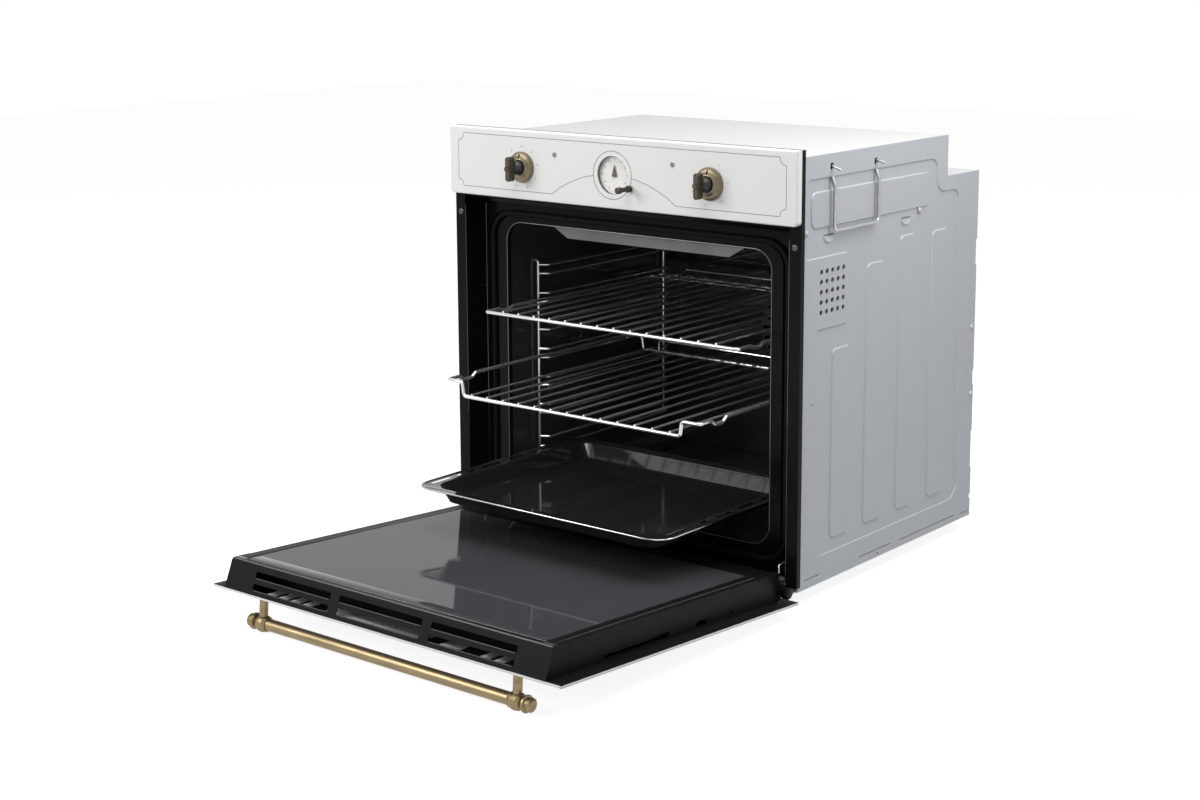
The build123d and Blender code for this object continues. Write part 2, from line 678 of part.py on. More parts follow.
def bail(side):
    """Adds one lifting bail, hanging down from its two straps."""
    low_y, high_y = BAIL_Y
    out_x = side * (BAIL_X + BAIL_REACH)
    wire(
        [
            (side * BAIL_X, low_y - STRAP_WIDTH / 2, BAIL_Z),
            (side * BAIL_X, low_y + STRAP_WIDTH / 2 + 4, BAIL_Z),
            (out_x, low_y + STRAP_WIDTH / 2 + 4, BAIL_Z - 16),
            (out_x, low_y + STRAP_WIDTH / 2 + 4, BAIL_BOTTOM),
            (out_x, high_y - STRAP_WIDTH / 2 - 4, BAIL_BOTTOM),
            (out_x, high_y - STRAP_WIDTH / 2 - 4, BAIL_Z - 16),
            (side * BAIL_X, high_y - STRAP_WIDTH / 2 - 4, BAIL_Z),
            (side * BAIL_X, high_y + STRAP_WIDTH / 2, BAIL_Z),
        ],
        BAIL_WIRE,
        8,
    )


with BuildPart() as bail_right:
    bail(1)
bail_right.part.label = "bail_right"
export_step(bail_right.part, "parts/bail_right.step")

with BuildPart() as bail_left:
    bail(-1)
bail_left.part.label = "bail_left"
export_step(bail_left.part, "parts/bail_left.step")

# Top cover, rear cover and base panel
INSIDE_X = SIDE_FACE_X - PRESS - SHEET - 0.1
with BuildPart() as top_cover:
    with BuildSketch(Plane.YZ):
        with BuildLine():
            Polyline(
                (FRAME_Y + FRAME_SHEET, BODY_TOP),
                (STEP_Y, BODY_TOP),
                (STEP_Y, STEP_TOP),
                (BODY_REAR_Y, STEP_TOP),
                (BODY_REAR_Y, STEP_TOP - SHEET),
                (STEP_Y - SHEET, STEP_TOP - SHEET),
                (STEP_Y - SHEET, BODY_TOP - SHEET),
                (FRAME_Y + FRAME_SHEET, BODY_TOP - SHEET),
                close=True,
            )
        make_face()
    extrude(amount=INSIDE_X, both=True)
top_cover.part.label = "top_cover"
export_step(top_cover.part, "parts/top_cover.step")

DOME_RADIUS = 62.0
DOME_DEPTH = 24.0
with BuildPart() as rear_cover:
    rear_x = (-INSIDE_X, INSIDE_X)
    box(rear_x, (BODY_REAR_Y - SHEET, BODY_REAR_Y), (SHEET, STEP_TOP - SHEET))
    with BuildSketch(front(BODY_REAR_Y)):
        with Locations((0, FAN_Z)):
            Circle(DOME_RADIUS)
    extrude(amount=-DOME_DEPTH, taper=12)
    with BuildSketch(front(BODY_REAR_Y - SHEET)):
        with Locations((0, FAN_Z)):
            Circle(DOME_RADIUS - SHEET)
    extrude(amount=-DOME_DEPTH, taper=12, mode=Mode.SUBTRACT)
rear_cover.part.label = "rear_cover"
export_step(rear_cover.part, "parts/rear_cover.step")

BASE_LEDGE_Y = -1.0
BASE_LEDGE_HALF = MOUTH_HALF + 9.5
BASE_FRONT_Y = 8.0
BASE_WALL_TOP = 29.0
with BuildPart() as base_panel:
    box(rear_x, (BASE_FRONT_Y, BODY_REAR_Y), (0, SHEET))
    box((-BASE_LEDGE_HALF, BASE_LEDGE_HALF), (BASE_LEDGE_Y, BASE_FRONT_Y), (0, SHEET))
    wall_y = (SEAT_Y + FRAME_SHEET, SEAT_Y + FRAME_SHEET + SHEET)
    box((-GROOVE_OUTER_HALF + 9, GROOVE_OUTER_HALF - 9), wall_y, (0, BASE_WALL_TOP))
base_panel.part.label = "base_panel"
export_step(base_panel.part, "parts/base_panel.step")

# Insulation blanket wrapped round the cavity, with the duct lying on it
DUCT_LOW = CAVITY_TOP + 26.0
DUCT_HIGH = DUCT_LOW + 26.0
with BuildPart() as insulation:
    with BuildSketch(front(60)):
        ring_sketch(CAVITY_HALF + 25, 18, DUCT_LOW, 40)
    extrude(amount=-(CAVITY_BACK - 60))
    with BuildSketch(front(59)):
        ring_sketch(CAVITY_HALF + SHEET, 30, CAVITY_TOP + SHEET, CAVITY_CORNER + SHEET)
    extrude(amount=-CAVITY_BACK, mode=Mode.SUBTRACT)
insulation.part.label = "insulation"
export_step(insulation.part, "parts/insulation.step")

# Cooling blower and the duct that leads its air out above the door
BLOWER_Y = 230.0
BLOWER_Z = DUCT_HIGH + 4.0
BLOWER_HALF = 105.0
DUCT_HALF = CAVITY_HALF - 55.0
DUCT_REAR_Y = 171.0
with BuildPart() as air_duct:
    box((-DUCT_HALF, DUCT_HALF), (SEAT_Y + 4, DUCT_REAR_Y), (DUCT_LOW, DUCT_HIGH))
    inner_z = (DUCT_LOW + SHEET, DUCT_HIGH - SHEET)
    box((-DUCT_HALF + SHEET, DUCT_HALF - SHEET), (0, 200), inner_z, Mode.SUBTRACT)
air_duct.part.label = "air_duct"
export_step(air_duct.part, "parts/air_duct.step")

HOUSING_REAR_Y = 275.0
HOUSING_TOP = DUCT_HIGH + 40.0
HOUSING_PROFILE = [
    (DUCT_REAR_Y, DUCT_LOW),
    (HOUSING_REAR_Y, DUCT_LOW),
    (HOUSING_REAR_Y, HOUSING_TOP),
    (DUCT_REAR_Y + 17, HOUSING_TOP),
    (DUCT_REAR_Y, DUCT_HIGH + 2),
]
HOUSING_HOLLOW = [
    (DUCT_REAR_Y - 11, DUCT_LOW + SHEET),
    (HOUSING_REAR_Y - SHEET, DUCT_LOW + SHEET),
    (HOUSING_REAR_Y - SHEET, HOUSING_TOP - SHEET),
    (DUCT_REAR_Y + 17 + SHEET, HOUSING_TOP - SHEET),
    (DUCT_REAR_Y + SHEET, DUCT_HIGH + 2),
    (DUCT_REAR_Y + SHEET, DUCT_HIGH),
    (DUCT_REAR_Y - 11, DUCT_HIGH),
]
with BuildPart() as blower_housing:
    with BuildSketch(Plane.YZ):
        with BuildLine():
            Polyline(*HOUSING_PROFILE, close=True)
        make_face()
    extrude(amount=BLOWER_HALF + 12, both=True)
    with BuildSketch(Plane.YZ):
        with BuildLine():
            Polyline(*HOUSING_HOLLOW, close=True)
        make_face()
    extrude(amount=BLOWER_HALF + 10, both=True, mode=Mode.SUBTRACT)
    with BuildSketch(Plane.YZ):
        with Locations((BLOWER_Y, BLOWER_Z)):
            Circle(SHAFT_RADIUS + RUNNING_GAP)
    extrude(amount=BLOWER_HALF + 20, both=True, mode=Mode.SUBTRACT)
    with BuildSketch(Plane.XY.offset(HOUSING_TOP - 7)):
        with Locations((0, BLOWER_Y)):
            with GridLocations(34, 1, 6, 1):
                Rectangle(26, 60)
    extrude(amount=10, mode=Mode.SUBTRACT)
blower_housing.part.label = "blower_housing"
export_step(blower_housing.part, "parts/blower_housing.step")

with BuildPart() as blower_rotor:
    for x in (-100, 0, 98):
        with BuildSketch(Plane.YZ.offset(x)):
            with Locations((BLOWER_Y, BLOWER_Z)):
                Circle(26)
        extrude(amount=2)
    with BuildSketch(Plane.YZ.offset(-100)):
        with Locations((BLOWER_Y, BLOWER_Z)):
            with PolarLocations(21.5, 16):
                Rectangle(7, 1.2, rotation=40)
    extrude(amount=200)
    with BuildSketch(Plane.YZ.offset(-BLOWER_HALF - 14)):
        with Locations((BLOWER_Y, BLOWER_Z)):
            Circle(SHAFT_RADIUS)
    extrude(amount=2 * BLOWER_HALF + 28)
blower_rotor.part.label = "blower_rotor"
export_step(blower_rotor.part, "parts/blower_rotor.step")

with BuildPart() as blower_motor:
    motor_x = (BLOWER_HALF + 12, BLOWER_HALF + 40)
    box(motor_x, (BLOWER_Y - 28, BLOWER_Y + 28), (BLOWER_Z - 24, BLOWER_Z + 24))
    with BuildSketch(Plane.YZ.offset(BLOWER_HALF + 12)):
        with Locations((BLOWER_Y, BLOWER_Z)):
            Circle(SHAFT_RADIUS + RUNNING_GAP)
    extrude(amount=10, mode=Mode.SUBTRACT)
blower_motor.part.label = "blower_motor"
export_step(blower_motor.part, "parts/blower_motor.step")

# Controls behind the panel
BEHIND_Y = FRAME_Y + FRAME_SHEET
SHAFT_END_Y = 6.0


def control_block(x, width, height, depth):
    """Adds a switch or thermostat body with a bore for its shaft."""
    block_x = (x - width / 2, x + width / 2)
    box(block_x, (BEHIND_Y, BEHIND_Y + depth), (KNOB_Z - height / 2, KNOB_Z + height / 2))
    with BuildSketch(front(BEHIND_Y)) as bore:
        with Locations((x, KNOB_Z)):
            Circle(SHAFT_RADIUS + RUNNING_GAP)
    extrude(bore.sketch, amount=-(SHAFT_END_Y - BEHIND_Y + 1), mode=Mode.SUBTRACT)


with BuildPart() as selector_switch:
    control_block(-KNOB_X, 46, 46, 36)
    box((-KNOB_X - 15, -KNOB_X + 15), (BEHIND_Y + 36, BEHIND_Y + 44), (KNOB_Z - 17, KNOB_Z + 17))
selector_switch.part.label = "selector_switch"
export_step(selector_switch.part, "parts/selector_switch.step")

with BuildPart() as thermostat:
    control_block(KNOB_X, 44, 38, 24)
    box((KNOB_X - 11, KNOB_X + 11), (BEHIND_Y + 24, BEHIND_Y + 34), (KNOB_Z - 11, KNOB_Z + 11))
thermostat.part.label = "thermostat"
export_step(thermostat.part, "parts/thermostat.step")

DIAL_FACE_Y = -13.0
with BuildPart() as timer_body:
    with BuildSketch(front(DIAL_FACE_Y + 1.5)):
        with Locations((0, DIAL_Z)):
            Circle(DIAL_RADIUS + 1)
    extrude(amount=-(BEHIND_Y - DIAL_FACE_Y - 1.5))
    box((-37, 37), (BEHIND_Y, 22), (DIAL_Z - 34, DIAL_Z + 34))
    with BuildSketch(front(BEHIND_Y)):
        with Locations((STEM_X, STEM_Z)):
            Circle(SHAFT_RADIUS + RUNNING_GAP)
    extrude(amount=-12, mode=Mode.SUBTRACT)
timer_body.part.label = "timer_body"
export_step(timer_body.part, "parts/timer_body.step")

with BuildPart() as dial_face:
    with BuildSketch(front(DIAL_FACE_Y)):
        with Locations((0, DIAL_Z)):
            Circle(DIAL_RADIUS + 1)
    extrude(amount=-1.5)
dial_face.part.label = "dial_face"
export_step(dial_face.part, "parts/dial_face.step")

with BuildPart() as dial_lens:
    with BuildSketch(front(FACE_Y + 0.2)):
        with Locations((0, DIAL_Z)):
            Circle(DIAL_RADIUS - 0.2)
    extrude(amount=-1.2)
dial_lens.part.label = "dial_lens"
export_step(dial_lens.part, "parts/dial_lens.step")

with BuildPart() as timer_pointer:
    with BuildSketch(front(DIAL_FACE_Y - 2.2)):
        with BuildLine():
            Polyline((-4, DIAL_Z - 2), (4, DIAL_Z - 2), (0, DIAL_Z + 13.5), close=True)
        make_face()
        with Locations((0, DIAL_Z)):
            Circle(3)
    extrude(amount=-1.2)
    with BuildSketch(front(DIAL_FACE_Y - 1)):
        with Locations((0, DIAL_Z)):
            Circle(1.6)
    extrude(amount=-0.9)
timer_pointer.part.label = "timer_pointer"
export_step(timer_pointer.part, "parts/timer_pointer.step")

STEM_PROFILE = [
    (0, -48.0),
    (3.2, -48.0),
    (4.5, -46.5),
    (4.5, -41.0),
    (3.2, -39.5),
    (3.2, -26.0),
    (4.6, -25.0),
    (4.6, -20.0),
    (SHAFT_RADIUS, -20.0),
    (SHAFT_RADIUS, 4.0),
    (0, 4.0),
]
with BuildPart() as timer_stem:
    with BuildSketch(Plane(origin=(STEM_X, 0, STEM_Z), x_dir=(1, 0, 0), z_dir=(0, 0, 1))):
        with BuildLine():
            Polyline(*STEM_PROFILE, close=True)
        make_face()
    revolve(axis=Axis((STEM_X, 0, STEM_Z), (0, 1, 0)))
timer_stem.part.label = "timer_stem"
export_step(timer_stem.part, "parts/timer_stem.step")

with BuildPart() as indicator_lenses:
    for x in (-LAMP_X, LAMP_X):
        with BuildSketch(front(FACE_Y - 1.2)):
            with Locations((x, LAMP_Z)):
                Circle(SHAFT_RADIUS)
        extrude(amount=-(BEHIND_Y - FACE_Y + 6))
indicator_lenses.part.label = "indicator_lenses"
export_step(indicator_lenses.part, "parts/indicator_lenses.step")

# Knobs: a stepped bell, a dark ball in it and an upright lever with a button
BELL_PROFILE = [
    (10.3, 0.6),
    (21.8, 0.6),
    (21.8, 2.4),
    (20.4, 3.2),
    (20.4, 4.0),
    (18.8, 4.8),
    (16.0, 5.6),
    (12.5, 7.6),
    (11.2, 8.0),
    (10.3, 7.4),
]
BALL_FRONT = 10.5
BALL_RADIUS = 10.2
LEVER_BACK = 20.0
LEVER_FRONT = 31.5
LEVER_HEIGHT = 34.6
LEVER_WIDTH = 8.4
LEVER_BEVEL = 1.2


def knob_plane(x):
    """A plane through a knob's axis, with the radius and Y as its axes."""
    return Plane(origin=(x, FACE_Y, KNOB_Z), x_dir=(1, 0, 0), z_dir=(0, 0, -1))


def knob_bell(x):
    """Adds the bell of one knob."""
    with BuildSketch(knob_plane(x)) as bell:
        with BuildLine():
            Polyline(*BELL_PROFILE, close=True)
        make_face()
    revolve(bell.sketch, axis=Axis((x, FACE_Y, KNOB_Z), (0, 1, 0)))


def knob_ball(x):
    """Adds the ball of one knob, with the bore for its shaft."""
    with BuildSketch(knob_plane(x)) as ball:
        with BuildLine():
            Polyline((SHAFT_RADIUS + 0.05, 18), (SHAFT_RADIUS + 0.05, 0.8), (9.2, 0.8), (9.2, 6.09))
            ThreePointArc((9.2, 6.09), (BALL_RADIUS, BALL_FRONT), (3.6, LEVER_BACK))
            Polyline((3.6, LEVER_BACK), (0, LEVER_BACK), (0, 18), (SHAFT_RADIUS + 0.05, 18))
        make_face()
    revolve(ball.sketch, axis=Axis((x, FACE_Y, KNOB_Z), (0, 1, 0)))


def knob_lever(x):
    """Adds the lever of one knob and the button on its front."""
    with BuildSketch(front(FACE_Y - LEVER_BACK)) as bar:
        with Locations((x, KNOB_Z - 0.7)):
            SlotOverall(LEVER_HEIGHT, LEVER_WIDTH, rotation=90)
    extrude(bar.sketch, amount=LEVER_FRONT - LEVER_BACK - LEVER_BEVEL)
    with BuildSketch(front(FACE_Y - LEVER_FRONT + LEVER_BEVEL)) as bevel:
        with Locations((x, KNOB_Z - 0.7)):
            SlotOverall(LEVER_HEIGHT, LEVER_WIDTH, rotation=90)
    extrude(bevel.sketch, amount=LEVER_BEVEL, taper=35)
    with BuildSketch(front(FACE_Y - LEVER_FRONT)) as button:
        with Locations((x, KNOB_Z)):
            Circle(3.6)
    extrude(button.sketch, amount=2)


def knob_shaft(x):
    """Adds the shaft that carries one knob."""
    with BuildSketch(front(FACE_Y - 17.9)) as shaft:
        with Locations((x, KNOB_Z)):
            Circle(SHAFT_RADIUS)
    extrude(shaft.sketch, amount=-(SHAFT_END_Y - FACE_Y + 17.9))


with BuildPart() as selector_bell:
    knob_bell(-KNOB_X)
selector_bell.part.label = "selector_bell"
export_step(selector_bell.part, "parts/selector_bell.step")

with BuildPart() as selector_ball:
    knob_ball(-KNOB_X)
selector_ball.part.label = "selector_ball"
export_step(selector_ball.part, "parts/selector_ball.step")

with BuildPart() as selector_lever:
    knob_lever(-KNOB_X)
selector_lever.part.label = "selector_lever"
export_step(selector_lever.part, "parts/selector_lever.step")

with BuildPart() as selector_shaft:
    knob_shaft(-KNOB_X)
selector_shaft.part.label = "selector_shaft"
export_step(selector_shaft.part, "parts/selector_shaft.step")

with BuildPart() as thermostat_bell:
    knob_bell(KNOB_X)
thermostat_bell.part.label = "thermostat_bell"
export_step(thermostat_bell.part, "parts/thermostat_bell.step")

with BuildPart() as thermostat_ball:
    knob_ball(KNOB_X)
thermostat_ball.part.label = "thermostat_ball"
export_step(thermostat_ball.part, "parts/thermostat_ball.step")

with BuildPart() as thermostat_lever:
    knob_lever(KNOB_X)
thermostat_lever.part.label = "thermostat_lever"
export_step(thermostat_lever.part, "parts/thermostat_lever.step")

with BuildPart() as thermostat_shaft:
    knob_shaft(KNOB_X)
thermostat_shaft.part.label = "thermostat_shaft"
export_step(thermostat_shaft.part, "parts/thermostat_shaft.step")

# Mains terminal block on the rear cover
TERMINAL_Z = STEP_TOP - 72.0
TERMINAL_X = 77.2 - INSIDE_X
TERMINAL_HALF = 30.0
with BuildPart() as terminal_block:
    box(
        (TERMINAL_X - TERMINAL_HALF, TERMINAL_X + TERMINAL_HALF),
        (BODY_REAR_Y, BODY_REAR_Y + 16),
        (TERMINAL_Z - 20, TERMINAL_Z + 20),
    )
    for z in (TERMINAL_Z - 10, TERMINAL_Z, TERMINAL_Z + 10):
        box(
            (TERMINAL_X - TERMINAL_HALF + 7, TERMINAL_X + TERMINAL_HALF - 7),
            (BODY_REAR_Y + 10, BODY_REAR_Y + 17),
            (z - 2, z + 2),
            Mode.SUBTRACT,
        )
terminal_block.part.label = "terminal_block"
export_step(terminal_block.part, "parts/terminal_block.step")

# Hinge claws and the receivers that hold them in the frame
CLAW_PROFILE = [
    (PIVOT_Y, PIVOT_Z - 7),
    (30, PIVOT_Z - 7),
    (33, PIVOT_Z - 3),
    (33, 60.5),
    (45, 60.5),
    (45, 72),
    (38, 80),
    (23.6, 80),
    (23.6, PIVOT_Z + 7),
    (PIVOT_Y, PIVOT_Z + 7),
]


def hinge_claw(side):
    """Adds one claw with its eye for the hinge pin."""
    low_x = CLAW_X if side > 0 else -CLAW_X - CLAW
    with BuildSketch(Plane.YZ.offset(low_x)) as plate:
        with BuildLine():
            Polyline(*CLAW_PROFILE, close=True)
        make_face()
        with Locations((PIVOT_Y, PIVOT_Z)):
            Circle(7)
            Circle(PIN_RADIUS + RUNNING_GAP, mode=Mode.SUBTRACT)
    extrude(plate.sketch, amount=CLAW)


def hinge_receiver(side):
    """Adds one receiver: a bracket behind the frame with a cross pin."""
    inner = side * (CLAW_X + CLAW + 0.4)
    outer = side * (CLAW_X + CLAW + 1.9)
    box((min(inner, outer), max(inner, outer)), (SEAT_Y + FRAME_SHEET, 60), (36, 92))
    with BuildSketch(Plane.YZ.offset(side * (CLAW_X - 1.2))) as pin:
        with Locations((39, 57.2)):
            Circle(3.2)
    extrude(pin.sketch, amount=side * 5)


with BuildPart() as hinge_claws:
    hinge_claw(1)
    hinge_claw(-1)
hinge_claws.part.label = "hinge_claws"
export_step(hinge_claws.part, "parts/hinge_claws.step")

with BuildPart() as hinge_receivers:
    hinge_receiver(1)
    hinge_receiver(-1)
hinge_receivers.part.label = "hinge_receivers"
export_step(hinge_receivers.part, "parts/hinge_receivers.step")

# Hinge channels, which lie in the door and carry the pins
CHANNEL_LOW_U = 4.0
CHANNEL_END_U = 180.0
CHANNEL_LOW_N = 5.0
CHANNEL_HIGH_N = 28.0


def hinge_channel(side):
    """Adds one channel of the door with its pin."""
    outer = side * CHEEK_OUT_X
    with BuildSketch(door_side(max(outer, side * CHEEK_IN_X))) as block:
        with BuildLine():
            Polyline(
                (CHANNEL_LOW_U, CHANNEL_LOW_N),
                (CHANNEL_END_U, CHANNEL_LOW_N),
                (CHANNEL_END_U, CHANNEL_HIGH_N - 8),
                (60, CHANNEL_HIGH_N),
                (CHANNEL_LOW_U, CHANNEL_HIGH_N),
                close=True,
            )
        make_face()
    extrude(block.sketch, amount=CHEEK_OUT_X - CHEEK_IN_X)
    inner_high = max(side * (CHEEK_OUT_X - CHEEK), side * (CHEEK_IN_X + CHEEK))
    with BuildSketch(door_side(inner_high)) as hollow:
        with Locations(((CHANNEL_END_U + 2) / 2, CHANNEL_LOW_N + CHEEK + 20)):
            Rectangle(CHANNEL_END_U + 10, 40)
    extrude(
        hollow.sketch,
        amount=CHEEK_OUT_X - CHEEK_IN_X - 2 * CHEEK,
        mode=Mode.SUBTRACT,
    )
    with BuildSketch(Plane.YZ.offset(side * CHEEK_IN_X)) as pin:
        with Locations((PIVOT_Y, PIVOT_Z)):
            Circle(PIN_RADIUS)
    extrude(pin.sketch, amount=side * (CHEEK_OUT_X - CHEEK_IN_X))


with BuildPart() as hinge_channel_right:
    hinge_channel(1)
hinge_channel_right.part.label = "hinge_channel_right"
export_step(hinge_channel_right.part, "parts/hinge_channel_right.step")

with BuildPart() as hinge_channel_left:
    hinge_channel(-1)
hinge_channel_left.part.label = "hinge_channel_left"
export_step(hinge_channel_left.part, "parts/hinge_channel_left.step")

# Door: outer skin
with BuildPart() as door_skin:
    with BuildSketch(door_face(0)):
        with Locations((0, (SKIN_LOW + DOOR_HEIGHT) / 2)):
            RectangleRounded(FRONT_WIDTH, DOOR_HEIGHT - SKIN_LOW, 4)
    extrude(amount=-SKIN)
    chamfer(door_skin.faces().sort_by(Axis(tuple(DOOR_EDGE), tuple(DOOR_IN)))[0].edges(), 0.8)
door_skin.part.label = "door_skin"
export_step(door_skin.part, "parts/door_skin.step")

# Door: top profile with its sloping edge and two rows of air slots
TOP_OUTER = [
    (GLASS_HIGH + 0.5, SKIN),
    (DOOR_HEIGHT - 0.5, SKIN),
    (DOOR_HEIGHT - 12.5, 38),
    (DOOR_HEIGHT - 14.4, 40.2),
    (DOOR_HEIGHT - 17.0, GLASS_IN),
    (GLASS_HIGH + 0.5, GLASS_IN),
]
TOP_INNER = [
    (GLASS_HIGH - 1, SKIN + DOOR_SHEET),
    (DOOR_HEIGHT - 2.7, SKIN + DOOR_SHEET),
    (DOOR_HEIGHT - 14.0, 37.4),
    (DOOR_HEIGHT - 17.4, GLASS_IN - DOOR_SHEET),
    (GLASS_HIGH - 1, GLASS_IN - DOOR_SHEET),
]
AIR_GROUPS = [(-154, 138), (1, 142), (155, 136)]
AIR_ROWS = [(9, 17), (24, 32)]
with BuildPart() as door_top_profile:
    with BuildSketch(door_side(DOOR_BODY_HALF)):
        with BuildLine():
            Polyline(*TOP_OUTER, close=True)
        make_face()
    extrude(amount=2 * DOOR_BODY_HALF)
    with BuildSketch(door_side(DOOR_BODY_HALF - DOOR_SHEET)):
        with BuildLine():
            Polyline(*TOP_INNER, close=True)
        make_face()
    extrude(amount=2 * (DOOR_BODY_HALF - DOOR_SHEET), mode=Mode.SUBTRACT)
    with BuildSketch(door_side(DOOR_BODY_HALF - DOOR_SHEET)):
        with Locations((GLASS_HIGH + 0.5 + DOOR_SHEET / 2, (SKIN + GLASS_IN) / 2)):
            Rectangle(DOOR_SHEET, GLASS_IN - SKIN - DOOR_SHEET)
    extrude(amount=2 * (DOOR_BODY_HALF - DOOR_SHEET))
    slot_plane = Plane(origin=DOOR_EDGE + DOOR_UP * (DOOR_HEIGHT + 1), x_dir=(1, 0, 0), z_dir=-DOOR_UP)
    with BuildSketch(slot_plane):
        for centre_x, length in AIR_GROUPS:
            for low_n, high_n in AIR_ROWS:
                with Locations((centre_x, -(low_n + high_n) / 2)):
                    RectangleRounded(length, high_n - low_n, 2)
    extrude(amount=24, mode=Mode.SUBTRACT)
door_top_profile.part.label = "door_top_profile"
export_step(door_top_profile.part, "parts/door_top_profile.step")

# Door: bottom profile
BOTTOM_PROFILE = [
    (DOOR_BODY_LOW, SKIN),
    (DOOR_BODY_LOW, 34),
    (24, DOOR_BODY_IN),
    (GLASS_LOW - 0.5, DOOR_BODY_IN),
    (GLASS_LOW - 0.5, DOOR_BODY_IN - DOOR_SHEET),
    (24.7, DOOR_BODY_IN - DOOR_SHEET),
    (DOOR_BODY_LOW + DOOR_SHEET, 33.6),
    (DOOR_BODY_LOW + DOOR_SHEET, SKIN + DOOR_SHEET),
    (GLASS_LOW - 0.5, SKIN + DOOR_SHEET),
    (GLASS_LOW - 0.5, SKIN),
]
with BuildPart() as door_bottom_profile:
    with BuildSketch(door_side(GLASS_HALF)):
        with BuildLine():
            Polyline(*BOTTOM_PROFILE, close=True)
        make_face()
    extrude(amount=2 * GLASS_HALF)
    with BuildSketch(door_side(GLASS_HALF)):
        with Locations((GLASS_LOW - 0.5 - DOOR_SHEET / 2, (SKIN + DOOR_BODY_IN) / 2)):
            Rectangle(DOOR_SHEET, DOOR_BODY_IN - SKIN - DOOR_SHEET)
    extrude(amount=2 * GLASS_HALF)
door_bottom_profile.part.label = "door_bottom_profile"
export_step(door_bottom_profile.part, "parts/door_bottom_profile.step")

# Door: side profiles, open towards the glass, with air slots in their outer webs
SIDE_SLOTS = [(123, 203), (260, 385)]
WEB_X = DOOR_BODY_HALF - 1.4


def door_side_profile(side):
    """Adds one side profile of the door."""
    high_x = DOOR_BODY_HALF if side > 0 else -GLASS_HALF - 0.3
    with BuildSketch(door_side(high_x)) as block:
        with Locations(((DOOR_BODY_LOW + GLASS_HIGH) / 2, (SKIN + DOOR_BODY_IN) / 2)):
            Rectangle(GLASS_HIGH - DOOR_BODY_LOW, DOOR_BODY_IN - SKIN)
    extrude(block.sketch, amount=DOOR_BODY_HALF - GLASS_HALF - 0.3)
    hollow_x = WEB_X if side > 0 else -GLASS_HALF + 5
    with BuildSketch(door_side(hollow_x)) as hollow:
        with Locations(((DOOR_BODY_LOW + GLASS_HIGH) / 2, (SKIN + DOOR_BODY_IN) / 2)):
            Rectangle(GLASS_HIGH, DOOR_BODY_IN - SKIN - 2 * DOOR_SHEET)
    extrude(hollow.sketch, amount=WEB_X - GLASS_HALF + 5, mode=Mode.SUBTRACT)
    with BuildSketch(door_side(side * (DOOR_BODY_HALF - 6) + 10)) as slots:
        for low_u, high_u in SIDE_SLOTS:
            with Locations(((low_u + high_u) / 2, 9)):
                RectangleRounded(high_u - low_u, 7, 2)
    extrude(slots.sketch, amount=20, mode=Mode.SUBTRACT)


with BuildPart() as door_side_right:
    door_side_profile(1)
door_side_right.part.label = "door_side_right"
export_step(door_side_right.part, "parts/door_side_right.step")

with BuildPart() as door_side_left:
    door_side_profile(-1)
door_side_left.part.label = "door_side_left"
export_step(door_side_left.part, "parts/door_side_left.step")

# Door: inner and middle glass
with BuildPart() as door_inner_glass:
    with BuildSketch(door_face(GLASS_IN)):
        with Locations((0, (GLASS_LOW + GLASS_HIGH) / 2)):
            RectangleRounded(2 * GLASS_HALF, GLASS_HIGH - GLASS_LOW, 3)
    extrude(amount=GLASS)
door_inner_glass.part.label = "door_inner_glass"
export_step(door_inner_glass.part, "parts/door_inner_glass.step")

MIDDLE_GLASS_IN = 24.0
with BuildPart() as door_middle_glass:
    with BuildSketch(door_face(MIDDLE_GLASS_IN)):
        with Locations((0, (GLASS_LOW + GLASS_HIGH) / 2)):
            Rectangle(2 * GLASS_HALF - 2, GLASS_HIGH - GLASS_LOW + 1)
    extrude(amount=GLASS)
door_middle_glass.part.label = "door_middle_glass"
export_step(door_middle_glass.part, "parts/door_middle_glass.step")

# Handle: a round bar between two turned heads on short posts, with finials
HEAD_START_X = HANDLE_POST_X - 10.0
HEAD_PROFILE = [
    (0, 0),
    (9.0, 0),
    (9.8, 1.5),
    (9.2, 3.0),
    (10.6, 5.0),
    (11.6, 9.5),
    (10.8, 14.5),
    (8.6, 18.0),
    (6.4, 19.1),
    (0, 19.1),
]
FINIAL_PROFILE = [
    (0, 19.1),
    (6.2, 19.1),
    (6.2, 20.3),
    (9.6, 21.5),
    (11.0, 24.1),
    (11.0, 25.7),
    (8.2, 26.9),
    (8.0, 29.3),
    (9.0, 30.5),
    (8.6, 32.9),
    (5.8, 35.1),
    (0, 35.9),
]


def along_handle(profile, side):
    """Adds a turned shape at one end of the handle, from radii and distances outwards."""
    axis_at = door_point(0, HANDLE_U, -HANDLE_OUT)
    with BuildSketch(Plane(origin=axis_at, x_dir=(1, 0, 0), z_dir=-DOOR_IN)) as turned:
        with BuildLine():
            turns = [(side * (HEAD_START_X + along), radius) for radius, along in profile]
            Polyline(*turns, close=True)
        make_face()
    revolve(turned.sketch, axis=Axis(tuple(axis_at), (1, 0, 0)))


def handle_bracket(side):
    """Adds one head of the handle with its post and the flange on the door."""
    along_handle(HEAD_PROFILE, side)
    for out, radius, length in ((0, 8.5, 2.0), (2.0, 7.0, 2.0), (4.0, 5.8, 30.0)):
        with BuildSketch(door_face(-out)) as section:
            with Locations((side * HANDLE_POST_X, HANDLE_U)):
                Circle(radius)
        extrude(section.sketch, amount=length)


with BuildPart() as handle_bar:
    with BuildSketch(door_side(HEAD_START_X - 0.1)):
        with Locations((HANDLE_U, -HANDLE_OUT)):
            Circle(HANDLE_RADIUS)
    extrude(amount=2 * (HEAD_START_X - 0.1))
handle_bar.part.label = "handle_bar"
export_step(handle_bar.part, "parts/handle_bar.step")

